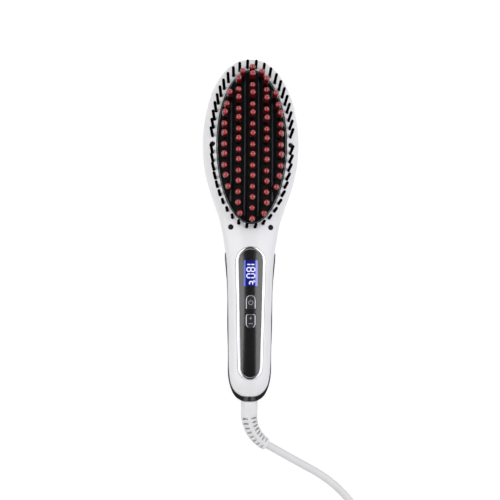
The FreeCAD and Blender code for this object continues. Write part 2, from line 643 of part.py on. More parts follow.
def build_heater_frame():
    ring = cut("frame_ring", arched_oval("frame_wall_outer", "plate_width / 2", "plate_length / 2", "fit_gap",
                                         "0 - frame_depth"),
               [oval("frame_wall_inner", "plate_width / 2 - frame_wall", "plate_length / 2 - frame_wall", BELOW, ABOVE)])
    lip = cut("frame_lip_ring", arched_oval("frame_lip_outer", "plate_width / 2 + frame_lip",
                                            "plate_length / 2 + frame_end_lip", "frame_lip_thick - frame_depth",
                                            "0 - frame_depth"),
              [oval("frame_lip_inner", "plate_width / 2 - frame_wall / 2", "plate_length / 2 - frame_wall / 2",
                    BELOW, ABOVE)])
    ledge = cut("frame_ledge_ring", arched_oval("frame_ledge_outer", "plate_width / 2 - frame_wall / 2",
                                                "plate_length / 2 - frame_wall / 2", "0 - plate_thick - fit_gap",
                                                "0 - frame_depth"),
                [oval("frame_ledge_inner", "plate_width / 2 - frame_wall - frame_ledge",
                      "plate_length / 2 - frame_wall - frame_ledge", BELOW, ABOVE)])
    clear = [rod(f"frame_clear_{label}", "screw_boss_width + 2 * fit_gap", ABOVE, x, y)
             for label, x, y, seat in SCREW_PLACES[:2]]
    return piece(cut("heater_frame", fuse("frame_rings", [ring, lip, ledge]), clear))


def clamp_places():
    return [("tip", f"{OVAL_Y} + clamp_screw_reach"), ("neck", f"{OVAL_Y} - clamp_screw_reach")]


def build_heater_stack():
    """Heating plate, foil heater, insulating pad and clamp plate, one under the other."""
    plate = arched_oval("plate_sheet", PLATE_HALF_X, PLATE_HALF_Y, "0", "0 - plate_thick")
    pilots = []
    bosses = []
    ways = []
    for label, y in clamp_places():
        boss = rod(f"plate_boss_{label}", "clamp_boss", ABOVE, "0", y)
        under = arch(f"plate_boss_arch_{label}", "0 - plate_thick / 2", "0 - plate_thick - heater_thick - pad_thick")
        bosses.append(overlap(f"plate_boss_{label}_trimmed", [boss, under]))
        pilots.append(rod(f"plate_pilot_{label}", "board_screw_width", ABOVE, "0", y))
        ways.append(rod(f"clamp_way_{label}", "board_screw_width + 2 * fit_gap", ABOVE, "0", y))
    top = arch("plate_pilot_limit", "0 - plate_thick / 2", "0 - frame_depth - clamp_boss")
    blind = [overlap(f"plate_pilot_blind_{number}", [pilot, top]) for number, pilot in enumerate(pilots)]
    piece(cut("heater_plate", fuse("plate_with_bosses", [plate] + bosses), blind))
    below_plate = "0 - plate_thick"
    below_heater = "0 - plate_thick - heater_thick"
    below_pad = "0 - plate_thick - heater_thick - pad_thick"
    below_clamp = "0 - plate_thick - heater_thick - pad_thick - clamp_thick"
    piece(arched_oval("foil_heater", "heater_width / 2", "heater_length / 2", below_plate, below_heater))
    piece(arched_oval("insulating_pad", "heater_width / 2", "heater_length / 2", below_heater, below_pad))
    clamp = arched_oval("clamp_sheet", "heater_width / 2", "clamp_length / 2", below_pad, below_clamp)
    piece(cut("clamp_plate", clamp, ways))


def arch_drop(y):
    """How far the arch has fallen at a place along the brush."""
    reach = y - oval_y() + size.arch_setback
    return size.arch_radius - math.sqrt(size.arch_radius ** 2 - reach ** 2)


def under_clamp(y):
    stack = size.plate_thick + size.heater_thick + size.pad_thick + size.clamp_thick
    return size.part_height + size.plate_lift - arch_drop(y) - stack


def build_heater_small_parts():
    """Clamp screws, temperature sensor and thermal fuse."""
    screws = []
    shank_length = "clamp_thick + pad_thick + heater_thick + plate_thick / 4 + board_screw_head_thick"
    for label, side in (("tip", 1), ("neck", -1)):
        y = oval_y() + side * size.clamp_screw_reach
        slope = abs(y - oval_y() + size.arch_setback) / size.arch_radius
        drop = size.board_screw_head_thick + slope * size.board_screw_head / 2 + size.fit_gap
        pieces = []
        for part, width, length in (("head", "board_screw_head", "board_screw_head_thick"),
                                    ("shank", "board_screw_width - fit_gap", shank_length)):
            drum = doc.addObject("Part::Cylinder", f"clamp_screw_{part}_{label}")
            bind(drum, Radius=f"({width}) / 2", Height=length)
            drum.Placement.Base = FreeCAD.Vector(0, y, under_clamp(y) - drop)
            pieces.append(drum)
        screws.append(fuse(f"clamp_screw_{label}", pieces))
    piece(group("clamp_screws", screws))
    sensor_y = oval_y() + SENSOR_PLACE_SHARE * size.plate_length
    fuse_y = oval_y() + FUSE_PLACE_SHARE * size.plate_length
    low = min(under_clamp(sensor_y + size.sensor_length), under_clamp(sensor_y - size.sensor_length))
    sensor = doc.addObject("Part::Box", "temperature_sensor")
    bind(sensor, Length="sensor_width", Width="sensor_length", Height="sensor_thick")
    sensor.Placement.Base = FreeCAD.Vector(-size.sensor_width / 2, sensor_y - size.sensor_length / 2,
                                           low - size.fit_gap - size.sensor_thick)
    piece(sensor)
    low = min(under_clamp(fuse_y + size.fuse_length), under_clamp(fuse_y - size.fuse_length))
    thermal = doc.addObject("Part::Cylinder", "thermal_fuse")
    turn(thermal, (1, 0, 0), -90)
    bind(thermal, Radius="fuse_width / 2", Height="fuse_length")
    thermal.Placement.Base = FreeCAD.Vector(0, fuse_y - size.fuse_length / 2, low - size.fit_gap - size.fuse_width / 2)
    piece(thermal)


def build_heater_leads():
    """Two leads from the clamp plate's neck end to the circuit board."""
    start_y = oval_y() - size.clamp_length / 2 + size.clamp_boss / 2
    board_y = -size.panel_start - size.board_inset
    board_z = size.part_height + size.board_lift + size.board_thick / 2
    leads = []
    for side in (-1, 1):
        x = side * size.lead_spread
        top = FreeCAD.Vector(x, start_y, under_clamp(start_y - size.clamp_boss) - size.lead_width)
        bend = FreeCAD.Vector(x, start_y - size.clamp_boss, board_z)
        end = FreeCAD.Vector(x, board_y, board_z)
        leads.append(tube("heater lead", [top, bend, end], size.lead_width))
    obj = doc.addObject("Part::Feature", "heater_leads")
    obj.Shape = Part.makeCompound(leads)
    piece(obj)


def tooth_rows(column):
    """Numbers of the rows that one comb strip fills, and whether each tooth is tall."""
    if abs(column) == 1:
        return [(row + 0.5, row % 2 == 1) for row in range(CENTRE_TEETH - 1)]
    if column == 0:
        return [(row, row % 2 == 0) for row in range(CENTRE_TEETH)]
    return [(row, row % 2 == 0) for row in range(OUTER_FIRST_ROW, OUTER_FIRST_ROW + OUTER_TEETH)]


def tooth_frames(column):
    """Foot on the strip, direction and height of each tooth, and how far it moved in from its line."""
    start = -size.plate_length / 2 + size.tooth_inset + size.arch_setback
    half_x = size.plate_width / 2 - size.frame_wall - size.fit_gap
    half_y = size.plate_length / 2 - size.frame_wall - size.fit_gap - size.tooth_edge / 2
    frames = []
    for row, tall in tooth_rows(column):
        angle = (start + size.tooth_pitch * row) / size.arch_radius
        direction = FreeCAD.Vector(0, math.sin(angle), math.cos(angle))
        axis = FreeCAD.Vector(0, oval_y() - size.arch_setback, size.part_height + size.plate_lift - size.arch_radius)
        foot = axis + direction * (size.arch_radius + size.rib_height)
        along = (foot.y - oval_y()) / half_y
        limit = (half_x - size.tooth_edge) * math.sqrt(max(0.0, 1 - along ** 2))
        line = abs(column) * size.column_pitch
        foot.x = math.copysign(min(line, limit), column)
        frames.append((foot, direction, size.tall_tooth if tall else size.short_tooth, line - abs(foot.x)))
    return frames


def build_comb():
    """Five comb strips on the plate, with tall and short teeth by turns, and a red cap on every tooth."""
    caps = []
    strip_arch = arch("strip_arch", "rib_height", "0")
    strip_oval = oval("strip_oval", f"{PLATE_HALF_X} - fit_gap", f"{PLATE_HALF_Y} - fit_gap", BELOW, ABOVE)
    for label, column in COMB_COLUMNS:
        middle = f"{column} * column_pitch"
        band = box(f"strip_band_{label}", (f"{middle} - rib_width / 2", f"{middle} + rib_width / 2"),
                   (f"0 - {HALF_LENGTH}", HALF_LENGTH), ("0", ABOVE))
        outline = [band]
        teeth = []
        for number, (foot, direction, height, moved) in enumerate(tooth_frames(column)):
            name = f"{label}_{number}"
            teeth.append(tooth_post(name, foot, direction, height))
            caps.append(tooth_cap(name, foot, direction, height))
            if moved > (size.rib_width - size.tooth_foot) / 2:
                pad = doc.addObject("Part::Cylinder", f"tooth_pad_{name}")
                bind(pad, Radius="rib_width / 2 - fit_gap", Height=ABOVE)
                pad.Placement.Base = FreeCAD.Vector(foot.x, foot.y, 0)
                outline.append(pad)
        shape = fuse(f"strip_outline_{label}", outline) if len(outline) > 1 else band
        rib = overlap(f"strip_rib_{label}", [shape, strip_oval, strip_arch])
        piece(fuse(f"comb_strip_{label}", [rib] + teeth))
    piece(group("tooth_caps", caps))


def tooth_post(name, foot, direction, height):
    """A tapered tooth, rooted half way into its strip."""
    post = doc.addObject("Part::Cone", f"tooth_{name}")
    bind(post, Radius1="tooth_foot / 2", Radius2="tooth_neck / 2")
    post.Height = height - size.cap_skirt - size.cap_dome + size.rib_height / 2
    post.Placement = along_direction(foot - direction * (size.rib_height / 2), direction)
    return post


def tooth_cap(name, foot, direction, height):
    """A cap on top of a tooth: a straight skirt under a sloping crown."""
    skirt = doc.addObject("Part::Cylinder", f"cap_skirt_{name}")
    bind(skirt, Radius="cap_width / 2", Height="cap_skirt")
    skirt.Placement = along_direction(foot + direction * (height - size.cap_skirt - size.cap_dome), direction)
    dome = doc.addObject("Part::Cone", f"cap_dome_{name}")
    bind(dome, Radius1="cap_width / 2", Radius2="cap_crown / 2", Height="cap_dome")
    dome.Placement = along_direction(foot + direction * (height - size.cap_dome), direction)
    return fuse(f"cap_{name}", [skirt, dome])


def build_rim_bristles():
    pins = []
    for number, (root, direction, inside, reach) in enumerate(bristle_frames()):
        pin = doc.addObject("Part::Cone", f"bristle_{number}")
        bind(pin, Radius1="bristle_width / 2", Radius2="bristle_tip_width / 2")
        pin.Height = inside + reach
        pin.Placement = along_direction(root, direction)
        pins.append(pin)
    piece(group("rim_bristles", pins))


def build_bristle_retainers():
    """Two half rings under the shell's edge that hold the roots of the bristles."""
    half_x = "(plate_width / 2 + bristle_inset)"
    half_y = "(plate_length / 2 + bristle_end_inset)"
    top = "part_height - retainer_drop"
    bottom = "part_height - retainer_drop - retainer_thick"
    ring = cut("retainer_ring", oval("retainer_outer", f"{half_x} + retainer_width / 2", f"{half_y} + retainer_width / 2",
                                     bottom, top),
               [oval("retainer_inner", f"{half_x} - retainer_width / 2", f"{half_y} - retainer_width / 2",
                     f"{bottom} - overrun", f"{top} + overrun")])
    room = "(screw_boss_width / 2 + 2 * fit_gap)"
    for label, near, far in (("tip", f"{OVAL_Y} + {room}", f"{HALF_LENGTH}"),
                             ("neck", f"0 - {HALF_LENGTH}", f"{OVAL_Y} - {room}")):
        half = box(f"retainer_half_{label}", (f"0 - {HEAD_HALF}", HEAD_HALF), (near, far), ("0", ABOVE))
        piece(overlap(f"bristle_retainer_{label}", [ring, half]))


def build_shell_screws():
    screws = []
    for label, x, y, seat in SCREW_PLACES:
        head = rod(f"screw_head_{label}", "screw_head_width", "screw_head_thick", x, y, f"part_height + {seat}")
        shank = rod(f"screw_shank_{label}", "screw_width", "screw_length", x, y,
                    f"part_height + {seat} - screw_length")
        screws.append(fuse(f"screw_{label}", [head, shank]))
    piece(group("case_screws", screws))


def button_prism(name, start, rounded_head, grow, bottom):
    """Upright prism of a button's outline, round at one end."""
    half = f"(button_width / 2 + ({grow}))"
    end = f"({start} - button_length)"
    if rounded_head:
        block = box(name + "_block", (f"0 - {half}", half), (f"{end} - ({grow})", f"{start} - button_width / 2"),
                    (bottom, ABOVE))
        centre = f"{start} - button_width / 2"
    else:
        block = box(name + "_block", (f"0 - {half}", half), (f"{end} + button_width / 2", f"{start} + ({grow})"),
                    (bottom, ABOVE))
        centre = f"{end} + button_width / 2"
    drum = rod(name + "_round", f"2 * {half}", f"{ABOVE} - ({bottom})", "0", centre, bottom)
    return fuse(name, [block, drum])


BUTTONS = [("power", POWER_START, True), ("temperature", TEMPERATURE_START, False)]


def build_panel():
    """Bright ring, control panel, display window and the two buttons."""
    ring_top = body_form("ring_top", HANDLE_STATIONS, front_rise, "ring_proud")
    panel_top = body_form("panel_top", HANDLE_STATIONS, front_rise, "panel_proud")
    panel_under = body_form("panel_under", HANDLE_STATIONS, front_rise, "0 - panel_depth")
    button_top = body_form("button_top", HANDLE_STATIONS, front_rise, "button_proud")
    ring = overlap("ring_solid", [panel_prism("ring_outline", "ring_width"), ring_top])
    piece(cut("panel_ring", ring, [panel_prism("ring_opening", "fit_gap"), panel_under]))
    sheet_part = cut("panel_sheet", overlap("panel_solid", [panel_prism("panel_outline", "0"), panel_top]),
                     [panel_under])
    half = "window_width / 2"
    window_y = (f"{WINDOW_START} - window_length", WINDOW_START)
    opening = box("window_opening", (f"0 - {half} - fit_gap", f"{half} + fit_gap"),
                  (f"{window_y[0]} - fit_gap", f"{window_y[1]} + fit_gap"), ("part_height", ABOVE))
    tools = [opening]
    for label, start, rounded_head in BUTTONS:
        tools.append(button_prism(f"{label}_opening", start, rounded_head, "button_gap", "part_height"))
    piece(cut("control_panel", sheet_part, tools))
    lens = box("window_outline", (f"0 - {half}", half), window_y, ("part_height", ABOVE))
    piece(cut("display_window", overlap("window_solid", [lens, panel_top]), [panel_under]))
    for label, start, rounded_head in BUTTONS:
        outline = button_prism(f"{label}_outline", start, rounded_head, "0", f"{FLANGE_TOP} - button_flange / 2")
        cap = overlap(f"{label}_cap", [outline, button_top])
        edge = "(button_width / 2 + button_flange)"
        flange = box(f"{label}_flange", (f"0 - {edge}", edge),
                     (f"{start} - button_length - button_flange", f"{start} + button_flange"),
                     (f"{FLANGE_TOP} - button_flange", FLANGE_TOP))
        piece(fuse(f"{label}_button", [cap, flange]))


def build_electronics():
    board_y = (f"{BOARD_HEAD_END} - board_length", BOARD_HEAD_END)
    board = box("board_blank", ("0 - board_width / 2", "board_width / 2"), board_y,
                (f"{BOARD_TOP} - board_thick", BOARD_TOP))
    ways = []
    screws = []
    for label, y in BOARD_SCREW_PLACES:
        ways.append(rod(f"board_way_{label}", "board_screw_width + 2 * fit_gap", ABOVE, "0", y))
        head = rod(f"board_screw_head_{label}", "board_screw_head", "board_screw_head_thick", "0", y, BOARD_TOP)
        shank = rod(f"board_screw_shank_{label}", "board_screw_width", "board_screw_length", "0", y,
                    f"{BOARD_TOP} - board_screw_length")
        screws.append(fuse(f"board_screw_{label}", [head, shank]))
    piece(cut("circuit_board", board, ways))
    piece(group("board_screws", screws))
    edge = "(window_width / 2 + display_border)"
    display_top = f"part_height + {DISPLAY_RISE_SHARE} * handle_rise - panel_depth"
    piece(box("display_module", (f"0 - {edge}", edge),
              (f"{WINDOW_START} - window_length - display_border", f"{WINDOW_START} + display_border"),
              (BOARD_TOP, display_top)))
    for label, start, rounded_head in BUTTONS:
        build_switch(label, f"({start} - button_length / 2)")
    capacitor_y = f"{BOARD_HEAD_END} - {CAPACITOR_PLACE_SHARE} * board_length"
    piece(lying_rod("filter_capacitor", "capacitor_width", f"{capacitor_y} - capacitor_length / 2",
                    f"{capacitor_y} + capacitor_length / 2", "0 - parts_spread",
                    f"{BOARD_TOP} - board_thick - capacitor_width / 2"))
    relay_y = f"{BOARD_HEAD_END} - {RELAY_PLACE_SHARE} * board_length"
    piece(box("heater_relay", ("parts_spread - relay_width / 2", "parts_spread + relay_width / 2"),
              (f"{relay_y} - relay_length / 2", f"{relay_y} + relay_length / 2"),
              (f"{BOARD_TOP} - board_thick - relay_height", f"{BOARD_TOP} - board_thick")))


def build_switch(label, y):
    """Switch body on the board and the plunger that its button presses."""
    half = "switch_width / 2"
    body = box(f"{label}_switch_block", (f"0 - {half}", half), (f"{y} - {half}", f"{y} + {half}"),
               (BOARD_TOP, f"{BOARD_TOP} + switch_height"))
    floor = f"{BOARD_TOP} + switch_height / 3"
    well = rod(f"{label}_switch_well", "plunger_width + 2 * button_gap", "switch_height", "0", y, floor)
    piece(cut(f"{label}_switch", body, [well]))
    foot = f"{floor} + plunger_room"
    piece(rod(f"{label}_plunger", "plunger_width", f"{FLANGE_TOP} - button_flange - ({foot})", "0", y, foot))


def build_swivel():
    """Bush in the tail, turning shaft with its contact rings, and the springs that touch them."""
    bush = lying_rod("bush_blank", "bush_width", TAIL_END, BUSH_END)
    bore = lying_rod("bush_bore", "swivel_width + 2 * swivel_run", f"{TAIL_END} - overrun", f"{BUSH_END} + overrun")
    piece(cut("swivel_bush", bush, [bore]))
    flange_start = f"({BUSH_END} + swivel_end_gap)"
    flange_end = f"({flange_start} + swivel_flange_thick)"
    shaft_end = f"({flange_end} + swivel_inner_length)"
    shaft = lying_rod("swivel_stem", "swivel_width", f"{TAIL_END} - swivel_end_gap", shaft_end)
    flange = lying_rod("swivel_flange", "swivel_flange_width", flange_start, flange_end)
    piece(fuse("swivel_shaft", [shaft, flange]))
    rings = []
    springs = []
    first = f"({flange_end} + contact_thick)"
    for number in (0, 1):
        start = f"({first} + {number} * contact_pitch)"
        blank = lying_rod(f"contact_ring_{number}", "contact_width", start, f"{start} + contact_thick")
        hole = lying_rod(f"contact_ring_hole_{number}", "swivel_width", f"{start} - overrun",
                         f"{start} + contact_thick + overrun")
        rings.append(cut(f"contact_ring_cut_{number}", blank, [hole]))
        top = "(part_height - contact_width / 2 - contact_gap)"
        springs.append(box(f"contact_spring_{number}", ("0 - contact_block_width / 2", "contact_block_width / 2"),
                           (start, f"{start} + contact_thick"), (f"{top} - contact_spring_thick", top)))
    piece(group("contact_rings", rings))
    piece(group("contact_springs", springs))
    top = "part_height - contact_width / 2 - contact_gap - contact_spring_thick"
    piece(box("contact_block", ("0 - contact_block_width / 2", "contact_block_width / 2"),
              (f"{flange_end}", f"{first} + 2 * contact_pitch"), ("shell_wall + contact_block_lift", top)))


def across_cord(point, heading):
    """A plane across the cord with its first axis level."""
    level = heading.cross(FreeCAD.Vector(0, 0, 1)).normalize()
    return FreeCAD.Placement(point, FreeCAD.Rotation(level, heading.cross(level), heading, "ZXY"))


def relief_point(run):
    """Point and direction of the strain relief's middle line, some way along it."""
    droop = math.radians(size.relief_droop_angle)
    aside = FreeCAD.Vector(math.cos(droop), 0, -math.sin(droop))
    back = FreeCAD.Vector(0, -1, 0)
    start = FreeCAD.Vector(0, -size.body_length / 2 - size.swivel_end_gap, size.part_height)
    if run <= size.relief_collar:
        return start + back * run, back
    angle = (run - size.relief_collar) / size.relief_bend_radius
    reach = size.relief_bend_radius
    point = start + back * (size.relief_collar + reach * math.sin(angle)) + aside * (reach * (1 - math.cos(angle)))
    return point, back * math.cos(angle) + aside * math.sin(angle)


def relief_length():
    return size.relief_collar + size.relief_bend_radius * math.radians(size.relief_turn_angle)


def build_strain_relief():
    """Tapered, bent sleeve with slots on both sides of a spine."""
    runs = [0.0]
    bend = relief_length() - size.relief_collar
    runs += [size.relief_collar + bend * number / (RELIEF_STATIONS - 1) for number in range(RELIEF_STATIONS)]
    outside = []
    core = []
    for number, run in enumerate(runs):
        point, direction = relief_point(run)
        share = max(0.0, run - size.relief_collar) / bend
        for sections, label, width in (
                (outside, "relief_outside", f"relief_width - (relief_width - relief_end_width) * {share}"),
                (core, "relief_core", "relief_core_width")):
            ring = doc.addObject("Part::Circle", f"{label}_{number}")
            bind(ring, Radius=f"({width}) / 2")
            ring.Placement = across_cord(point, direction)
            sections.append(ring)
    slots = []
    spare = (bend - size.relief_slot_pitch * (RELIEF_SLOTS - 1)) / 2
    for number in range(RELIEF_SLOTS):
        run = size.relief_collar + spare + size.relief_slot_pitch * number
        point, direction = relief_point(run)
        up = FreeCAD.Vector(0, 0, 1)
        across = direction.cross(up).normalize()
        tall = across.cross(direction)
        share = (run - size.relief_collar) / bend
        half = (size.relief_width - (size.relief_width - size.relief_end_width) * share) / 2
        reach = half - size.relief_rail_width - size.relief_spine_width / 2
        for side in (-1, 1):
            slot = doc.addObject("Part::Box", f"relief_slot_{number}_{'left' if side < 0 else 'right'}")
            bind(slot, Width="relief_slot", Height="2 * relief_width")
            slot.Length = reach
            near = size.relief_spine_width / 2 if side > 0 else -size.relief_spine_width / 2 - reach
            corner = point + across * near - direction * (size.relief_slot / 2) - tall * size.relief_width
            slot.Placement = FreeCAD.Placement(corner, FreeCAD.Rotation(across, direction, tall, "XYZ"))
            slots.append(slot)
    slotted = cut("relief_slotted", loft("relief_outside", outside), slots)
    piece(fuse("strain_relief", [slotted, loft("relief_core", core)]))


def arc_to(start, heading, end):
    """The arc that leaves start along heading and ends on end, with the heading that it ends on."""
    chord = end - start
    along = FreeCAD.Vector(chord).normalize()
    cosine = heading.dot(along)
    middle = FreeCAD.Vector(heading + along).normalize()
    half_turn = math.acos(max(-1.0, min(1.0, cosine))) / 2
    through = start + middle * (chord.Length / (2 * math.cos(half_turn)))
    return Part.Arc(start, through, end).toShape(), along * (2 * cosine) - heading


def sweep(name, edges, width):
    """A round tube along a chain of edges, compared with its section times its length."""
    wire = Part.Wire(edges)
    first = edges[0].FirstParameter
    profile = Part.Wire(Part.makeCircle(width / 2, edges[0].valueAt(first), edges[0].tangentAt(first)))
    tube_shape = wire.makePipeShell([profile], True, False)
    expected = math.pi * width ** 2 / 4 * wire.Length
    print(f"{name}: length {wire.Length:.1f} mm, volume over section times length {tube_shape.Volume / expected:.4f}")
    return tube_shape.Solids[0] if tube_shape.Solids else tube_shape


def tube(name, points, width):
    """A round tube on straight runs, joined by arcs as large as the runs allow."""
    edges = []
    radii = []
    last = points[0]
    for before, corner, after in zip(points, points[1:], points[2:]):
        into = FreeCAD.Vector(corner - before)
        out = FreeCAD.Vector(after - corner)
        angle = into.getAngle(out)
        trim = BEND_SHARE * min(into.Length, out.Length)
        radii.append(trim / math.tan(angle / 2))
        first = corner - FreeCAD.Vector(into).normalize() * trim
        second = corner + FreeCAD.Vector(out).normalize() * trim
        edges.append(Part.LineSegment(last, first).toShape())
        edges.append(arc_to(first, FreeCAD.Vector(into).normalize(), second)[0])
        last = second
    edges.append(Part.LineSegment(last, points[-1]).toShape())
    print(f"{name}: bend radii " + ", ".join(f"{radius:.0f}" for radius in radii))
    return sweep(name, edges, width)


def coil_height():
    return size.coil_lift + size.cord_width / 2


def coil_path():
    """Edges of the put-away cord: a spiral in, a climb of half a turn and a spiral out above it."""
    lead = size.cord_width
    outer = size.coil_inner_radius + COIL_LOOPS * size.coil_step
    heading = FreeCAD.Vector(0, -1, 0)
    begin = FreeCAD.Vector(COIL_START[0], COIL_START[1] + lead, coil_height())
    point = FreeCAD.Vector(COIL_START[0], COIL_START[1], coil_height())
    edges = [Part.LineSegment(begin, point).toShape()]
    side = -1
    for number in range(2 * COIL_LOOPS):
        radius = outer - number * size.coil_step / 2
        end = point + FreeCAD.Vector(2 * side * radius, 0, 0)
        edge, heading = arc_to(point, heading, end)
        edges.append(edge)
        point = end
        side = -side
    inner = size.coil_inner_radius
    reach = math.sqrt(inner ** 2 + (size.coil_step / 2) ** 2)
    half_way = point + FreeCAD.Vector(-inner, -reach, size.coil_step / 2)
    top = point + FreeCAD.Vector(-2 * inner, 0, size.coil_step)
    for start, end in ((point, half_way), (half_way, top)):
        edge, heading = arc_to(start, heading, end)
        edges.append(edge)
    point = top
    side = 1
    for number in range(1, 2 * COIL_LOOPS):
        radius = inner + number * size.coil_step / 2
        end = point + FreeCAD.Vector(2 * side * radius, 0, 0)
        edge, heading = arc_to(point, heading, end)
        edges.append(edge)
        point = end
        side = -side
    leave = point + heading * lead
    edges.append(Part.LineSegment(point, leave).toShape())
    return edges, leave


def least_gap(edges, width):
    """Least clear gap of a wound tube to itself, measured on points along it."""
    points = []
    run = 0.0
    for edge in edges:
        count = max(2, int(edge.Length / (width / 4)))
        for number in range(count):
            points.append((run + edge.Length * number / count, edge.valueAt(edge.getParameterByLength(
                edge.Length * number / count))))
        run += edge.Length
    least = None
    for number, (at, point) in enumerate(points):
        for other_at, other in points[number + 1:]:
            if other_at - at < 3 * width:
                continue
            gap = point.distanceToPoint(other) - width
            least = gap if least is None else min(least, gap)
    return least


def build_cord():
    """Free cord, coil, tail to the plug and the strap around the coil."""
    start, heading = relief_point(relief_length())
    points = [start, start + heading * CORD_FIRST_RUN]
    points += [FreeCAD.Vector(*point) for point in CORD_POINTS]
    points.append(FreeCAD.Vector(COIL_START[0], COIL_START[1] + size.cord_width, coil_height()))
    cord = doc.addObject("Part::Feature", "cord")
    cord.Shape = tube("cord", points, size.cord_width)
    piece(cord)
    edges, leave = coil_path()
    print(f"cord coil: least gap to itself {least_gap(edges, size.cord_width):.2f} mm")
    coil = doc.addObject("Part::Feature", "cord_coil")
    coil.Shape = sweep("cord coil", edges, size.cord_width)
    piece(coil)
    tail_points = [leave] + [leave + FreeCAD.Vector(*step) for step in TAIL_POINTS]
    tail = doc.addObject("Part::Feature", "cord_tail")
    tail.Shape = tube("cord tail", tail_points, size.cord_width)
    piece(tail)
    build_plug(tail_points[-2], tail_points[-1])
    build_tie()


def build_tie():
    """A strap around the loops on the side of the coil that faces the brush."""
    outer = size.coil_inner_radius + COIL_LOOPS * size.coil_step
    centre_x = COIL_START[0] - outer
    inmost = size.coil_inner_radius + size.coil_step / 2 - size.cord_width / 2 - size.tie_gap
    outmost = outer - size.coil_step / 2 + size.cord_width / 2 + size.tie_gap
    low = coil_height() - size.cord_width / 2 - size.tie_gap / 2
    high = coil_height() + size.coil_step + size.cord_width / 2 + size.tie_gap / 2
    wall = size.tie_thick
    solid = Part.makeBox(size.tie_width, outmost - inmost + 2 * wall, high - low + 2 * wall,
                         FreeCAD.Vector(centre_x - size.tie_width / 2, COIL_START[1] + inmost - wall, low - wall))
    hole = Part.makeBox(size.tie_width + 2 * size.overrun, outmost - inmost, high - low,
                        FreeCAD.Vector(centre_x - size.tie_width / 2 - size.overrun, COIL_START[1] + inmost, low))
    tie = doc.addObject("Part::Feature", "coil_tie")
    tie.Shape = solid.cut(hole)
    piece(tie)


def build_plug(before, entry):
    """Mains plug with two round pins, in line with the end of the cord."""
    heading = FreeCAD.Vector(entry.x - before.x, entry.y - before.y, entry.z - before.z).normalize()
    sections = []
    for number, (along, wide, thick) in enumerate(PLUG_STATION_SHARES):
        ring = doc.addObject("Part::Ellipse", f"plug_{number}")
        bind(ring, MajorRadius=f"(plug_grip_width + {wide} * (plug_width - plug_grip_width)) / 2",
             MinorRadius=f"(plug_grip_width * {1 - thick} + {thick} * plug_thick) / 2 - fit_gap")
        ring.Placement = across_cord(entry + heading * (along * size.plug_length), heading)
        sections.append(ring)
    piece(loft("plug_body", sections))
    pins = []
    face = entry + heading * size.plug_length
    across = across_cord(face, heading).Rotation.multVec(FreeCAD.Vector(1, 0, 0))
    for side in (-1, 1):
        pin = doc.addObject("Part::Cylinder", f"plug_pin_{'left' if side < 0 else 'right'}")
        bind(pin, Radius="pin_width / 2", Height="pin_length")
        pin.Placement = along_direction(face + across * (side * size.pin_spacing / 2), heading)
        pins.append(pin)
    piece(group("plug_pins", pins))


build_front_shell()
build_back_shell()
build_handle_trim()
build_heater_frame()
build_heater_stack()
build_heater_small_parts()
build_heater_leads()
build_comb()
build_rim_bristles()
build_bristle_retainers()
build_shell_screws()
build_panel()
build_electronics()
build_swivel()
build_strain_relief()
build_cord()
doc.recompute()

failed = [obj.Name for obj in doc.Objects if "Invalid" in obj.State or "Error" in obj.State]
broken = [obj.Label for obj in PIECES if obj.Shape.isNull() or not obj.Shape.isValid()]
if failed or broken:
    raise RuntimeError(f"failed objects {failed}, broken shapes {broken}")
os.makedirs("parts", exist_ok=True)
for obj in PIECES:
    obj.Shape.exportStep(f"parts/{obj.Label}.step")
    print(f"{obj.Label}: {len(obj.Shape.Solids)} solids, {obj.Shape.Volume:.1f} cubic mm")
print(f"{len(PIECES)} pieces")
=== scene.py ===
# %% [markdown]
# # A heated styling brush, dressed for a studio picture
# The brush is packed as a CAD frame: two shells, a hot plate with a capped comb, a panel and a cord.
# The frame gives every piece its place. This lesson gives the pieces their finish, and makes again
# the few whose shape matters most to the eye. All lengths are in metres, and MM turns millimetres
# into them, so that a size reads as it would on a drawing.

# %% Load the frame
import math

import bmesh
import bpy
from mathutils import Matrix, Vector
from mathutils.bvhtree import BVHTree


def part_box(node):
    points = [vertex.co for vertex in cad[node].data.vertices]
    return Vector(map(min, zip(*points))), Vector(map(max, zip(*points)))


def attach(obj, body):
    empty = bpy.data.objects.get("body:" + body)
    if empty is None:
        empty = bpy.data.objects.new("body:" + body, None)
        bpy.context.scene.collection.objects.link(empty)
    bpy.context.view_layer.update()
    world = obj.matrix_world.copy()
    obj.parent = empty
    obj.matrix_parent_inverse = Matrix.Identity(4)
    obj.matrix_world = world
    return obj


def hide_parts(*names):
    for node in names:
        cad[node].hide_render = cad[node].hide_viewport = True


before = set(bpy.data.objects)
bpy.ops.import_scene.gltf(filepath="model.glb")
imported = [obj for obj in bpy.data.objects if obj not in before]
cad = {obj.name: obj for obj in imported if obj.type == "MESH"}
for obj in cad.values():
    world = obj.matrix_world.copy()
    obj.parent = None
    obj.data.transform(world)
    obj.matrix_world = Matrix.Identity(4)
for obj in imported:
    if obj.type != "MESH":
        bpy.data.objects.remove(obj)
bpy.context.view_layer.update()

MM = 0.001
scene = bpy.context.scene
scene.view_settings.view_transform = "Standard"

# %% [markdown]
# ## Two small helpers
# Colours are easiest to judge as sRGB hex values, but a shader works with linear light, so one
# function turns the first into the second. A node tree is a list of nodes, their settings and their
# links. One function adds a node with all three: a value that is another node's output becomes a
# link.

# %% Colour and node helpers
def linear(hex_colour):
    """Linear RGBA from an sRGB hex value."""
    parts = [int(hex_colour[start:start + 2], 16) / 255 for start in (1, 3, 5)]
    return [part / 12.92 if part <= 0.04045 else ((part + 0.055) / 1.055) ** 2.4 for part in parts] + [1.0]


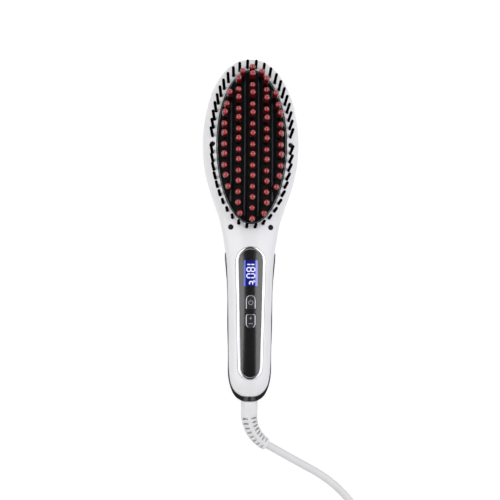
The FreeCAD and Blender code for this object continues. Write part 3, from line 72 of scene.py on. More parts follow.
def add_node(tree, kind, settings=None, sockets=None):
    """One node with its settings; a socket's value is a constant or another node's output."""
    made = tree.nodes.new(kind)
    for name, value in (settings or {}).items():
        setattr(made, name, value)
    for name, value in (sockets or {}).items():
        if isinstance(value, bpy.types.NodeSocket):
            tree.links.new(value, made.inputs[name])
        else:
            made.inputs[name].default_value = value
    return made


print("pearl white in linear light:", [round(part, 3) for part in linear("#EDECEE")[:3]])

# %% [markdown]
# ## The camera
# The picture was taken from above, a little to the handle's side and a little to the left. The
# spacing of the comb's tips against their roots gives the distance, about 470 mm, and both tilts. A
# camera could be aimed with a constraint. Here its axes are written out, because they also hold a
# small roll.

# %% Camera
CAMERA_PLACE = Vector((-27.15, -58.45, 480.43)) * MM
CAMERA_RIGHT = Vector((0.99828, 0.00616, 0.05832)).normalized()
CAMERA_UP = Vector((-0.01121, 0.99618, 0.08665)).normalized()
CAMERA_VIEW_ANGLE = 42.287

camera = bpy.data.objects.new("camera", bpy.data.cameras.new("camera"))
camera.data.angle = math.radians(CAMERA_VIEW_ANGLE)
turn = Matrix((CAMERA_RIGHT, CAMERA_UP, CAMERA_RIGHT.cross(CAMERA_UP))).transposed()
camera.matrix_world = Matrix.Translation(CAMERA_PLACE) @ turn.to_4x4()
scene.collection.objects.link(camera)
scene.camera = camera
print("camera height in mm:", round(camera.location.z / MM))

# %% [markdown]
# ## Studio: sky and floor
# The brush lies on white paper in a white room. The sky is dim for the light that it gives, and white
# where it is seen, directly or in a reflection. The floor glows more with distance, where the light
# of the soft boxes no longer reaches, so that it stays white to the edge from every side. A bright
# sky alone would be simpler, but its light comes from everywhere and leaves no form on white plastic.

# %% Sky and floor
SKY_FILL = 0.26
FLOOR_GLOW = 0.35
GLOW_NEAR, GLOW_FAR = 0.45, 1.3
FLOOR_HALF = 3.0


def seen_rays(tree):
    """1 for rays that show a surface to the eye: direct ones, and those of gloss and glass."""
    rays = add_node(tree, "ShaderNodeLightPath")
    direct = add_node(tree, "ShaderNodeMath", {"operation": "MAXIMUM"},
                      {0: rays.outputs["Is Camera Ray"], 1: rays.outputs["Is Glossy Ray"]})
    return add_node(tree, "ShaderNodeMath", {"operation": "MAXIMUM"},
                    {0: direct.outputs[0], 1: rays.outputs["Is Transmission Ray"]}).outputs[0]


def empty_material(name):
    """A material whose nodes are still to be added."""
    material = bpy.data.materials.new(name)
    material.use_nodes = True
    material.node_tree.nodes.clear()
    return material


def stage_plane(name, stations, height, material):
    """A level sheet from (place along Y, half width) pairs, the same on both sides."""
    mesh = bpy.data.meshes.new(name)
    outline = [(half, y, height) for y, half in stations]
    outline += [(-half, y, height) for y, half in reversed(stations)]
    mesh.from_pydata(outline, [], [range(len(outline))])
    mesh.materials.append(material)
    plane = bpy.data.objects.new(name, mesh)
    scene.collection.objects.link(plane)
    return plane


world = bpy.data.worlds.new("studio sky")
scene.world = world
world.use_nodes = True
world.node_tree.nodes.clear()
sky_strength = add_node(world.node_tree, "ShaderNodeMath", {"operation": "MULTIPLY_ADD"},
                        {0: seen_rays(world.node_tree), 1: 1 - SKY_FILL, 2: SKY_FILL})
sky = add_node(world.node_tree, "ShaderNodeBackground", None,
               {"Color": linear("#FFFFFF"), "Strength": sky_strength.outputs[0]})
add_node(world.node_tree, "ShaderNodeOutputWorld", None, {"Surface": sky.outputs[0]})

# Paper, pressed and uncoated: a matt white without any gloss.
paper = empty_material("matt white paper floor")
floor_place = add_node(paper.node_tree, "ShaderNodeTexCoord").outputs["Object"]
away = add_node(paper.node_tree, "ShaderNodeVectorMath", {"operation": "LENGTH"},
                {0: floor_place}).outputs["Value"]
fade = add_node(paper.node_tree, "ShaderNodeMapRange", {"interpolation_type": "SMOOTHSTEP"},
                {"Value": away, "From Min": GLOW_NEAR, "From Max": GLOW_FAR,
                 "To Min": FLOOR_GLOW, "To Max": 1.0})
glow_strength = add_node(paper.node_tree, "ShaderNodeMath", {"operation": "MULTIPLY"},
                         {0: seen_rays(paper.node_tree), 1: fade.outputs[0]})
glow = add_node(paper.node_tree, "ShaderNodeEmission", None,
                {"Color": linear("#FFFFFF"), "Strength": glow_strength.outputs[0]})
matt = add_node(paper.node_tree, "ShaderNodeBsdfDiffuse", None, {"Color": linear("#F4F4F4")})
both = add_node(paper.node_tree, "ShaderNodeAddShader", None, {0: matt.outputs[0], 1: glow.outputs[0]})
add_node(paper.node_tree, "ShaderNodeOutputMaterial", None, {"Surface": both.outputs[0]})
stage_plane("floor", [(-FLOOR_HALF, FLOOR_HALF), (FLOOR_HALF, FLOOR_HALF)], 0.0, paper)
print("floor of", 2 * FLOOR_HALF, "m under a sky of strength", SKY_FILL)

# %% [markdown]
# ## Two soft boxes and a dark card
# Black gloss shows what a studio looks like. The panel has a dark band along its middle and a grey
# band on both sides, so the real set had a long soft box on the left and on the right, and nothing
# bright straight above. Two area lights and a dark card over the brush repeat that. The dark band
# widens to the tail, and so does the card. A picture of a studio as the sky would do for the light,
# but its boxes could not be moved to where the panel asks for them.

# %% Soft boxes and card
SOFT_BOX_WIDTH = 0.9
SOFT_BOX_LENGTH = 1.6
SOFT_BOX_POWER = 6.6
SOFT_BOX_PLACE = (0.62, -0.02, 0.80)
CARD_HEIGHT = 0.75
CARD_STATIONS = [(-1.1, 0.36), (-0.17, 0.33), (0.04, 0.23), (1.1, 0.21)]

# Card, dyed black: it takes the light away and is seen in reflections only.
card_paint = bpy.data.materials.new("black card")
card_paint.use_nodes = True
card_paint.node_tree.nodes["Principled BSDF"].inputs["Base Color"].default_value = linear("#0A0A0A")
card = stage_plane("dark card", CARD_STATIONS, CARD_HEIGHT, card_paint)
card.visible_camera = False
card.visible_diffuse = False
card.visible_shadow = False

for side, label, tint in ((-1, "left", (1.0, 0.99, 0.98)), (1, "right", (0.97, 0.975, 1.0))):
    box = bpy.data.lights.new(f"soft box {label}", "AREA")
    box.color = tint
    box.shape = "RECTANGLE"
    box.size = SOFT_BOX_WIDTH
    box.size_y = SOFT_BOX_LENGTH
    box.energy = SOFT_BOX_POWER
    lamp = bpy.data.objects.new(f"soft box {label}", box)
    lamp.location = (side * SOFT_BOX_PLACE[0], SOFT_BOX_PLACE[1], SOFT_BOX_PLACE[2])
    lamp.rotation_euler = (-lamp.location).to_track_quat("-Z", "Y").to_euler()
    scene.collection.objects.link(lamp)
print("two soft boxes of", SOFT_BOX_POWER, "W")

# %% [markdown]
# ## Moulded surfaces
# Most of this brush came out of a mould. Such a skin is never one flat colour: pigment and gloss
# drift a little over some millimetres, and the tool's texture leaves a fine grain. A real grain is
# too fine to show in the render, so it is drawn as coarse as some tenths of a millimetre. One
# function makes that skin from two near tones, two roughness values and a grain size, on Object
# coordinates, so that the pattern stays with the piece. Photographs of plastic as textures would be
# the other way, but they carry one light with them.

# %% Skin of a moulded or coated piece
def moulded(name, tones, roughness, patch_mm, grain_mm, depth_mm, foot=None, **fixed):
    """A skin that drifts between two tones and two roughness values, with a fine grain.

    A patch is the size of the drift in mm, and a grain has a width and a depth in mm. A foot is a darker
    tone, painted shade for the lower part of a turned form, and the two rises between which it fades out.
    """
    material = empty_material(name)
    tree = material.node_tree
    place = add_node(tree, "ShaderNodeTexCoord").outputs["Object"]
    patches = add_node(tree, "ShaderNodeTexNoise", None,
                       {"Vector": place, "Scale": 1 / (patch_mm * MM), "Detail": 3.0}).outputs[0]
    grain = add_node(tree, "ShaderNodeTexNoise", None,
                     {"Vector": place, "Scale": 1 / (grain_mm * MM), "Detail": 2.0}).outputs[0]
    colour = add_node(tree, "ShaderNodeMix", {"data_type": "RGBA"},
                      {0: patches, 6: linear(tones[0]), 7: linear(tones[1])}).outputs[2]
    # A foot paints shade on the lower part of a turned form: darker below, full colour above the crown.
    if foot:
        painted_shade_tone, foot_end, crown = foot
        rise = add_node(tree, "ShaderNodeAttribute", {"attribute_name": "rise"}).outputs["Fac"]
        above = add_node(tree, "ShaderNodeMapRange", {"interpolation_type": "SMOOTHSTEP"},
                         {"Value": rise, "From Min": foot_end, "From Max": crown}).outputs[0]
        colour = add_node(tree, "ShaderNodeMix", {"data_type": "RGBA"},
                          {0: above, 6: linear(painted_shade_tone), 7: colour}).outputs[2]
    gloss = add_node(tree, "ShaderNodeMapRange", None,
                     {"Value": patches, "To Min": roughness[0], "To Max": roughness[1]}).outputs[0]
    bump = add_node(tree, "ShaderNodeBump", None,
                    {"Height": grain, "Distance": depth_mm * MM}).outputs[0]
    sockets = {"Base Color": colour, "Roughness": gloss, "Normal": bump}
    sockets.update({label.replace("_", " "): value for label, value in fixed.items()})
    shader = add_node(tree, "ShaderNodeBsdfPrincipled", None, sockets)
    add_node(tree, "ShaderNodeOutputMaterial", None, {"Surface": shader.outputs[0]})
    return material


def paint(material, *names):
    """Gives CAD pieces a material, by their node names."""
    for name in names:
        cad[name].material_slots[0].material = material


# ABS, moulded and polished, with a pearl pigment: soft broad highlights on a faintly cool white.
PEARL_ABS = moulded("moulded ABS, pearl white", ("#F1F0F2", "#EBEAEE"), (0.26, 0.34), patch_mm=18,
                    grain_mm=0.8, depth_mm=0.001, IOR=1.5, Coat_Weight=0.25, Coat_Roughness=0.12)
# ABS, moulded in a polished tool: deep black with a clear reflection.
BLACK_ABS = moulded("moulded ABS, black gloss", ("#0B0A0C", "#121114"), (0.28, 0.36), patch_mm=9,
                    grain_mm=0.4, depth_mm=0.001, IOR=1.5)
# Glass-filled nylon: the fibres dull the skin, so black turns to a satin charcoal at a grazing angle.
HEAT_NYLON = moulded("glass-filled nylon, satin black", ("#060506", "#0B0A0B"), (0.36, 0.5), patch_mm=4,
                     grain_mm=0.35, depth_mm=0.006, IOR=1.53, Specular_IOR_Level=0.14)
# Aluminium with a fired ceramic coat: a dark, slightly warm skin with an even sheen.
CERAMIC_COAT = moulded("aluminium with a fired ceramic coat", ("#070607", "#0C0B0C"), (0.32, 0.42),
                       patch_mm=6, grain_mm=0.3, depth_mm=0.004, IOR=1.6, Specular_IOR_Level=0.12)
paint(PEARL_ABS, "front_shell", "back_shell")
paint(BLACK_ABS, "handle_trim")
paint(HEAT_NYLON, "heater_frame", "comb_strip_left_outer", "comb_strip_left_inner", "comb_strip_centre",
      "comb_strip_right_inner", "comb_strip_right_outer")
paint(CERAMIC_COAT, "heater_plate")
print("shells, band, frame, comb and plate painted")

# %% [markdown]
# ## The cord
# A mains cord is a fixed length of something flexible. It leaves the swivel's sleeve along the
# sleeve's own line, sinks to the table and is put away in a flat coil of two layers, out of the
# picture. A NURBS curve of order 3 with the route's points as its control points bends as smoothly as
# a cord does, while a poly line would look like bent wire. The order and the end points are set after
# the points, because the curve checks them against how many it has.

# %% Cord
CORD_WIDTH = 5.4
CORD_EXIT = (12.074, -155.951, 9.765)
CORD_LEAD = [CORD_EXIT, (33.824, -168.951, 3.937), (60.0, -183.0, 3.1), (80.0, -204.0, 3.4),
             (91.6, -230.0, 4.2), (91.6, -246.6, 4.2)]
CORD_TAIL = [(91.6, -257.4, 10.1), (91.6, -270.4, 10.1), (93.2, -285.4, 7.9), (95.2, -298.4, 7.9)]
COIL_CENTRE = (46.7, -252.0)
COIL_INNER = 21.3
COIL_STEP = 5.9
COIL_LAYERS = (4.2, 10.1)
HALF_TURNS = 8
POINTS_PER_HALF_TURN = 12


def half_turn(centre_x, radius, side, low, high):
    """Points of half a loop, by the near side of the coil for side 1 and by the far side for -1."""
    points = []
    for step in range(POINTS_PER_HALF_TURN):
        share = (step + 0.5) / POINTS_PER_HALF_TURN
        angle = math.pi * share
        x = centre_x - side * radius * math.cos(angle)
        y = COIL_CENTRE[1] + side * radius * math.sin(angle)
        points.append((x, y, low + (high - low) * share))
    return points


def coil_points():
    """A spiral in on the table, half a turn of climb, and a spiral out on top of it."""
    low, high = COIL_LAYERS
    points = []
    for number in range(HALF_TURNS):
        radius = COIL_INNER + (HALF_TURNS - number) * COIL_STEP / 2
        side = -1 if number % 2 == 0 else 1
        centre_x = COIL_CENTRE[0] - (COIL_STEP / 2 if side > 0 else 0)
        points += half_turn(centre_x, radius, side, low, low)
    points += half_turn(COIL_CENTRE[0], COIL_INNER, -1, low, high)
    for number in range(1, HALF_TURNS):
        side = 1 if number % 2 else -1
        centre_x = COIL_CENTRE[0] + (COIL_STEP / 2 if side > 0 else 0)
        points += half_turn(centre_x, COIL_INNER + number * COIL_STEP / 2, side, high, high)
    return points


route = CORD_LEAD + coil_points() + CORD_TAIL
line = bpy.data.curves.new("mains_cord", "CURVE")
line.dimensions = "3D"
line.bevel_depth = CORD_WIDTH / 2 * MM
line.bevel_resolution = 4
line.resolution_u = 6
line.use_fill_caps = True
spline = line.splines.new("NURBS")
spline.points.add(len(route) - 1)
for control, point in zip(spline.points, route):
    control.co = (point[0] * MM, point[1] * MM, point[2] * MM, 1.0)
spline.order_u = 3
spline.use_endpoint_u = True
cord = bpy.data.objects.new("mains_cord", line)
scene.collection.objects.link(cord)
# PVC, moulded over the cord: milky, so that light seeps into its slots and they stay pale.
MILKY_PVC = moulded("moulded PVC, milky white", ("#EDECED", "#E4E3E5"), (0.4, 0.5), patch_mm=10,
                    grain_mm=0.6, depth_mm=0.003, IOR=1.53, Subsurface_Weight=0.8,
                    Subsurface_Radius=(1.0, 1.0, 1.0), Subsurface_Scale=2.5 * MM)
# PVC, extruded round the cores: a dull even white that dirt and handling grey a little.
PVC_SHEATH = moulded("extruded PVC, satin white", ("#E9E8E9", "#DEDDDF"), (0.42, 0.52), patch_mm=12,
                     grain_mm=0.6, depth_mm=0.004, IOR=1.53)
line.materials.append(PVC_SHEATH)
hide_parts("cord", "cord_coil", "cord_tail")
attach(cord, "cord_end")
paint(MILKY_PVC, "strain_relief")
print(len(route), "control points on the cord")

# %% [markdown]
# ## Forms of revolution
# A tooth's cap, a bristle, a screw and a plug's pin are all turned forms, so one lathe function makes
# each from half an outline. A Screw modifier would turn an outline too. The function also takes a
# reach that changes with the angle, and it stores how high each point lies for the finish to use.

# %% Lathe
SHARP_EDGE = 50


def close_mesh(shape, name, sharp_angle):
    """A mesh with its faces outwards and smooth, but for edges sharper than an angle."""
    bmesh.ops.recalc_face_normals(shape, faces=shape.faces)
    mesh = bpy.data.meshes.new(name)
    shape.to_mesh(mesh)
    shape.free()
    mesh.shade_smooth()
    mesh.set_sharp_from_angle(angle=math.radians(sharp_angle))
    return mesh


def add_object(name, mesh, material=None):
    """A mesh as an object in the scene, with a material if one is given."""
    if material:
        mesh.materials.append(material)
    made = bpy.data.objects.new(name, mesh)
    scene.collection.objects.link(made)
    return made


def lathe(name, outline, steps, reach=None):
    """A closed form round Z from (radius, height) in mm; reach may change the radius with the angle.

    The attribute rise goes from 0 at its foot to 1 at its top.
    """
    shape = bmesh.new()
    rings = []
    for number, (radius, height) in enumerate(outline):
        ring = []
        for step in range(steps if radius else 1):
            angle = 2 * math.pi * step / steps
            far = radius * (reach(number, angle) if reach else 1) * MM
            ring.append(shape.verts.new((far * math.cos(angle), far * math.sin(angle), height * MM)))
        rings.append(ring)
    for low, high in zip(rings, rings[1:]):
        for step in range(steps):
            after = (step + 1) % steps
            corners = [low[step % len(low)], low[after % len(low)],
                       high[after % len(high)], high[step % len(high)]]
            shape.faces.new(list(dict.fromkeys(corners)))
    mesh = close_mesh(shape, name, SHARP_EDGE)
    tall = max(height for radius, height in outline)
    mesh.attributes.new("rise", "FLOAT", "POINT").data.foreach_set(
        "value", [vertex.co.z / MM / tall for vertex in mesh.vertices])
    return mesh


print("edges over", SHARP_EDGE, "degrees stay sharp on a turned form")

# %% [markdown]
# ## Where the turned forms stand
# Places are already in the frame: each solid of a CAD node is an island of vertices, and the middles
# of its two end rings give its foot, its direction and its length. The places could be typed in
# again, but then they would not follow the frame when it changes.

# %% Axes from the frame
WELD_REACH = 0.002
AXIS_PASSES = 5
END_SHARE = 0.2


def axes_of(name, along_roughly=(0, 0, 1)):
    """Foot, direction and length of every solid of a CAD node, from the middles of its end rings.

    The search begins with a rough direction, and every pass brings it closer to the true one.
    """
    shape = bmesh.new()
    shape.from_mesh(cad[name].data)
    bmesh.ops.remove_doubles(shape, verts=shape.verts, dist=WELD_REACH * MM)
    waiting = set(shape.verts)
    axes = []
    while waiting:
        island = [waiting.pop()]
        for vertex in island:
            for edge in vertex.link_edges:
                other = edge.other_vert(vertex)
                if other in waiting:
                    waiting.remove(other)
                    island.append(other)
        points = [vertex.co.copy() for vertex in island]
        along = Vector(along_roughly)
        for correction in range(AXIS_PASSES):
            runs = [point.dot(along) for point in points]
            start, end = min(runs), max(runs)
            room = END_SHARE * (end - start)
            feet = [point for point, run in zip(points, runs) if run < start + room]
            heads = [point for point, run in zip(points, runs) if run > end - room]
            foot = sum(feet, Vector()) / len(feet)
            head = sum(heads, Vector()) / len(heads)
            along = (head - foot).normalized()
        axes.append((foot, along, (head - foot).length))
    shape.free()
    return axes


print("caps in the frame:", len(axes_of("tooth_caps")))

# %% [markdown]
# ## Scatter tree
# Caps, bristles and screws repeat, which is what Geometry Nodes are for. The tree takes points with a
# direction and a length each, sets a shape on every one, makes the instances real and gives them a
# finish. Copies could be made in a Python loop too, but then the count and the sizes would be hidden
# in code, not in named inputs.

# %% Scatter tree
scatter_tree = bpy.data.node_groups.new("Scatter a turned form", "GeometryNodeTree")
sockets = {}
for label, kind in (("Points", "NodeSocketGeometry"), ("Shape", "NodeSocketObject"),
                    ("Width", "NodeSocketFloat"), ("Finish", "NodeSocketMaterial")):
    sockets[label] = scatter_tree.interface.new_socket(label, in_out="INPUT", socket_type=kind).identifier
scatter_tree.interface.new_socket("Geometry", in_out="OUTPUT", socket_type="NodeSocketGeometry")
entry = add_node(scatter_tree, "NodeGroupInput")
direction = add_node(scatter_tree, "GeometryNodeInputNamedAttribute", {"data_type": "FLOAT_VECTOR"},
                     {"Name": "direction"})
length = add_node(scatter_tree, "GeometryNodeInputNamedAttribute", {"data_type": "FLOAT"}, {"Name": "length"})
aim = add_node(scatter_tree, "FunctionNodeAlignRotationToVector", {"axis": "Z"},
               {"Vector": direction.outputs[0]})
stretch = add_node(scatter_tree, "ShaderNodeCombineXYZ", None,
                   {"X": entry.outputs["Width"], "Y": entry.outputs["Width"], "Z": length.outputs[0]})
form = add_node(scatter_tree, "GeometryNodeObjectInfo", None, {"Object": entry.outputs["Shape"]})
copies = add_node(scatter_tree, "GeometryNodeInstanceOnPoints", None,
                  {"Points": entry.outputs["Points"], "Instance": form.outputs["Geometry"],
                   "Rotation": aim.outputs[0], "Scale": stretch.outputs[0]})
real = add_node(scatter_tree, "GeometryNodeRealizeInstances", None, {"Geometry": copies.outputs[0]})
coated = add_node(scatter_tree, "GeometryNodeSetMaterial", None,
                  {"Geometry": real.outputs[0], "Material": entry.outputs["Finish"]})
add_node(scatter_tree, "NodeGroupOutput", None, {"Geometry": coated.outputs[0]})


def scatter(name, form_mesh, axes, width, finish):
    """One mesh with a shape on every axis; an axis is a foot, a direction and a length to stretch to."""
    points = bpy.data.meshes.new(name + "_points")
    points.from_pydata([foot for foot, along, long in axes], [], [])
    points.attributes.new("direction", "FLOAT_VECTOR", "POINT").data.foreach_set(
        "vector", [number for foot, along, long in axes for number in along])
    points.attributes.new("length", "FLOAT", "POINT").data.foreach_set(
        "value", [long for foot, along, long in axes])
    carrier = add_object(name + "_points", points)
    model = add_object(name + "_model", form_mesh)
    modifier = carrier.modifiers.new("Scatter", "NODES")
    modifier.node_group = scatter_tree
    modifier[sockets["Shape"]] = model
    modifier[sockets["Width"]] = width
    modifier[sockets["Finish"]] = finish
    made = bpy.data.meshes.new_from_object(carrier.evaluated_get(bpy.context.evaluated_depsgraph_get()))
    bpy.data.objects.remove(carrier)
    bpy.data.objects.remove(model)
    made.name = name
    return add_object(name, made)


print("scatter tree has", len(scatter_tree.nodes), "nodes")

# %% [markdown]
# ## Red caps
# Every tooth of the comb wears a cap of soft silicone that keeps the hot metal off the scalp: a
# straight skirt and a dome. The frame's caps are short, and the picture shows longer skirts, so each
# cap starts lower on its tooth here. Silicone lets light in a little way, so the solid dome glows red.
# The skirt is painted a dark red towards its foot, as painted shade for the side that the soft boxes
# leave dark. The rise stored by the lathe drives that painted shade. A plain red paint would look like
# enamel.

# %% Red caps
CAP_OUTLINE = [(0, 0), (1.95, 0), (2.2, 0.18), (2.2, 4.35), (2.1, 4.95), (1.8, 5.55), (1.3, 6.0),
               (0.65, 6.24), (0, 6.3)]
LONGER_SKIRT = 2.6
# Silicone, moulded in a polished tool: a glint of each soft box over a colour from under the surface, and
# painted shade on the skirt.
RED_SILICONE_PAINTED_SHADE = moulded("moulded silicone, red, painted shade on skirt", ("#C03A30", "#A02338"), (0.12, 0.18), patch_mm=11,
                       grain_mm=0.25, depth_mm=0.001, foot=("#6E0B15", 0.78, 1.02), IOR=1.41,
                       Coat_Weight=1.0, Coat_Roughness=0.1, Coat_IOR=1.5, Subsurface_Weight=0.2,
                       Subsurface_Radius=(1.0, 0.25, 0.15), Subsurface_Scale=0.6 * MM)
cap_axes = [(foot - along * LONGER_SKIRT * MM, along, 1.0) for foot, along, long in axes_of("tooth_caps")]
caps = scatter("tooth_caps_red", lathe("cap", CAP_OUTLINE, steps=16), cap_axes, width=1.0,
               finish=RED_SILICONE_PAINTED_SHADE)
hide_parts("tooth_caps")
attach(caps, "brush")
print(len(caps.data.polygons), "faces on the caps")

# %% [markdown]
# ## Rim bristles
# Nylon pins around the hot oval keep fingers and ears away from it. Each is a straight pin with a
# round tip, in a small recess of the shell. The tip is what a plain cylinder lacks. The outline is
# a metre tall, so that a bristle's own length in metres stretches it to size. Nylon takes a set where
# it is stored, and in the picture all the bristles lean a little to the left.

# %% Rim bristles
BRISTLE_OUTLINE = [(0, 0), (1.08, 0), (1.08, 940), (1.02, 965), (0.78, 986), (0.42, 997), (0, 1000)]
BRISTLE_LEAN = Vector((-0.022, 0, 0))
# Nylon monofilament, drawn and ground: a matt black that takes no shine even where the eye grazes it.
BRISTLE_NYLON = moulded("drawn and ground nylon, black", ("#060506", "#0C0B0C"), (0.6, 0.7), patch_mm=3,
                        grain_mm=0.3, depth_mm=0.004, IOR=1.53, Specular_IOR_Level=0.0)
bristle_axes = [(foot, (along + BRISTLE_LEAN).normalized(), long)
                for foot, along, long in axes_of("rim_bristles")]
bristles = scatter("rim_bristles_round", lathe("bristle", BRISTLE_OUTLINE, steps=10), bristle_axes,
                   width=1.0, finish=BRISTLE_NYLON)
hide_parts("rim_bristles")
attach(bristles, "brush")
print(len(bristles.data.polygons), "faces on the bristles")

# %% [markdown]
# ## Case screws
# Four blackened screws hold the shells. A cross recess is the mark of a screw: the lathe makes it by
# drawing the recess's rings in and out with the angle, which needs no boolean cut.

# %% Case screws
SCREW_OUTLINE = [(0, 0), (0.6, 0.1), (1.1, 1.4), (1.1, 11.0), (1.72, 11.0), (1.85, 11.15), (1.85, 11.9),
                 (1.7, 12.25), (1.35, 12.44), (1.1, 12.5), (0.75, 11.75), (0, 11.65)]
RECESS_RINGS = (9, 10)
BETWEEN_ARMS = 0.36
ARM_SHARPNESS = 3


def cross_reach(ring, angle):
    """Full radius along the arms of a cross, and about a third of it between them."""
    if ring not in RECESS_RINGS:
        return 1.0
    return BETWEEN_ARMS + (1 - BETWEEN_ARMS) * abs(math.cos(2 * angle)) ** ARM_SHARPNESS


# Steel, blackened in a hot bath: dark, with a metal's sharp glint on the edges.
BLACK_STEEL = moulded("blackened steel", ("#232325", "#323235"), (0.3, 0.45), patch_mm=2, grain_mm=0.2,
                      depth_mm=0.003, Metallic=0.8)
screw_axes = [(foot, along, 1.0) for foot, along, long in axes_of("case_screws")]
screws = scatter("case_screws_cross", lathe("screw", SCREW_OUTLINE, steps=32, reach=cross_reach),
                 screw_axes, width=1.0, finish=BLACK_STEEL)
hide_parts("case_screws")
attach(screws, "brush")
print(len(screws.data.polygons), "faces on the screws")

# %% [markdown]
# ## Strips that lie on a surface
# The bright ring, the lines round the buttons and the signs all follow the arched panel. Each is a
# strip with a small section along a flat path, dropped onto the CAD piece that carries it: a ray
# straight down finds the height. The result is a closed body that touches its carrier from any side,
# not a picture on it. A Shrinkwrap modifier could lay a strip down too, but it would press the
# section flat.

# %% Strips on a surface
RAY_START = 0.1
NEAR_TAIL = (0, -100)
BEAD_EDGE = 60
PRINT_EDGE = 40
trees = {}


def top_of(name, x, y):
    """Height of a CAD node's upper face in mm over a place in mm, or None beside it."""
    if name not in trees:
        mesh = cad[name].data
        trees[name] = BVHTree.FromPolygons([vertex.co for vertex in mesh.vertices],
                                           [tuple(face.vertices) for face in mesh.polygons])
    hit = trees[name].ray_cast(Vector((x * MM, y * MM, RAY_START)), Vector((0, 0, -1)))[0]
    return None if hit is None else hit.z / MM


def strip(shape, path, section, carrier, closed=False):
    """Adds a strip to a bmesh: section is (offset, height) in mm round its outline, path is in mm."""
    count = len(path)
    rings = []
    for number, (x, y) in enumerate(path):
        before = path[(number - 1) % count] if closed or number else path[0]
        after = path[(number + 1) % count] if closed or number < count - 1 else path[-1]
        along = Vector((after[0] - before[0], after[1] - before[1])).normalized()
        base = top_of(carrier, x, y)
        ring = []
        for offset, height in section:
            across = (x - along.y * offset, y + along.x * offset)
            level = top_of(carrier, *across)
            z = (base if level is None else level) + height
            ring.append(shape.verts.new((across[0] * MM, across[1] * MM, z * MM)))
        rings.append(ring)
    sides = len(section)
    for number in range(count if closed else count - 1):
        first, second = rings[number], rings[(number + 1) % count]
        for side in range(sides):
            after = (side + 1) % sides
            shape.faces.new((first[side], first[after], second[after], second[side]))
    if not closed:
        shape.faces.new(rings[0])
        shape.faces.new(rings[-1][::-1])


def arc_path(centre, radius, start, end, steps):
    """Points of an arc; angles in degrees from +X, counter-clockwise."""
    angles = [math.radians(start + (end - start) * step / steps) for step in range(steps + 1)]
    return [(centre[0] + radius * math.cos(angle), centre[1] + radius * math.sin(angle)) for angle in angles]


print("panel stands at", round(top_of("control_panel", *NEAR_TAIL), 2), "mm near its tail")

# %% [markdown]
# ## Ridges on the hot plate
# Between the comb's strips the sheet of the hot plate has a low stamped ridge, which stiffens it. Each
# ridge has a grey metal finish, a painted highlight for the line of light along the black valley. A thin
# silver bead closes the oval's edge, a painted highlight for the glint along the frame's lip. Both are
# strips dropped onto the frame's arched plate. A bump in the finish would be cheaper, but it has no
# flank to catch the light.

# %% Plate ridges and edge bead
PLATE_HALF_WIDTH = 25.3
PLATE_HALF_LENGTH = 57.2
PLATE_MIDDLE = 57.6
COLUMN_PITCH = 9.9
BETWEEN_STRIPS = (-1.5, -0.5, 0.5, 1.5)
RIDGE_SECTION = [(-0.65, -0.3), (-0.65, 0.0), (-0.4, 0.2), (0, 0.28), (0.4, 0.2), (0.65, 0.0), (0.65, -0.3)]
EDGE_SECTION = [(-0.2, -0.3), (-0.2, 0.04), (-0.1, 0.12), (0.1, 0.12), (0.2, 0.04), (0.2, -0.3)]
RIDGE_END_ROOM = 5.0
RIDGE_STEPS = 40
EDGE_INSET = 0.7
EDGE_STEP_DEGREES = 3

# Grey metal on the ridges: a painted highlight for the line of light along each valley, with a metal's sheen.
RIDGE_PAINTED_HIGHLIGHT = moulded("grey metal, painted ridge highlight", ("#4E5255", "#3E4245"), (0.34, 0.44), patch_mm=5,
                    grain_mm=0.4, depth_mm=0.003, Metallic=0.9)
# Silver metal on the oval's edge: a painted highlight, a fine silver line.
EDGE_PAINTED_HIGHLIGHT = moulded("silver metal, painted edge highlight", ("#B4B7BA", "#A2A5A8"), (0.3, 0.4), patch_mm=6,
                      grain_mm=0.4, depth_mm=0.003, Metallic=1.0)
ridges = bmesh.new()
for column in BETWEEN_STRIPS:
    x = column * COLUMN_PITCH
    reach = PLATE_HALF_LENGTH * math.sqrt(1 - (x / PLATE_HALF_WIDTH) ** 2) - RIDGE_END_ROOM
    path = [(x, PLATE_MIDDLE + reach * (2 * step / RIDGE_STEPS - 1)) for step in range(RIDGE_STEPS + 1)]
    strip(ridges, path, RIDGE_SECTION, "heater_plate")
ridge_piece = add_object("plate_ridges", close_mesh(ridges, "plate_ridges", BEAD_EDGE), RIDGE_PAINTED_HIGHLIGHT)
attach(ridge_piece, "brush")

oval = []
for degrees in range(0, 360, EDGE_STEP_DEGREES):
    bearing = math.radians(degrees)
    oval.append(((PLATE_HALF_WIDTH - EDGE_INSET) * math.sin(bearing),
                 PLATE_MIDDLE + (PLATE_HALF_LENGTH - EDGE_INSET) * math.cos(bearing)))
edge_shape = bmesh.new()
strip(edge_shape, oval, EDGE_SECTION, "heater_frame", closed=True)
edge_mesh = close_mesh(edge_shape, "plate_edge_bead", BEAD_EDGE)
edge_bead = add_object("plate_edge_bead", edge_mesh, EDGE_PAINTED_HIGHLIGHT)
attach(edge_bead, "brush")
print(len(ridge_piece.data.polygons), "faces on the ridges")
print(len(edge_bead.data.polygons), "faces on the edge bead")

# %% [markdown]
# ## The bright ring
# A plated ring surrounds the panel. In the CAD frame it has a flat top. The real one is a rounded
# bead, and that roundness is what draws the white soft boxes down its sides and leaves its two ends
# dark. A bevel could round the CAD ring, but a strip with its own section says how round it is.

# %% Bright ring
PANEL_HEAD = ((0, -26.5), 8.5)
PANEL_TAIL = ((0, -101.05), 6.55)
RING_MIDDLE = 1.17
RING_HALF = 0.98


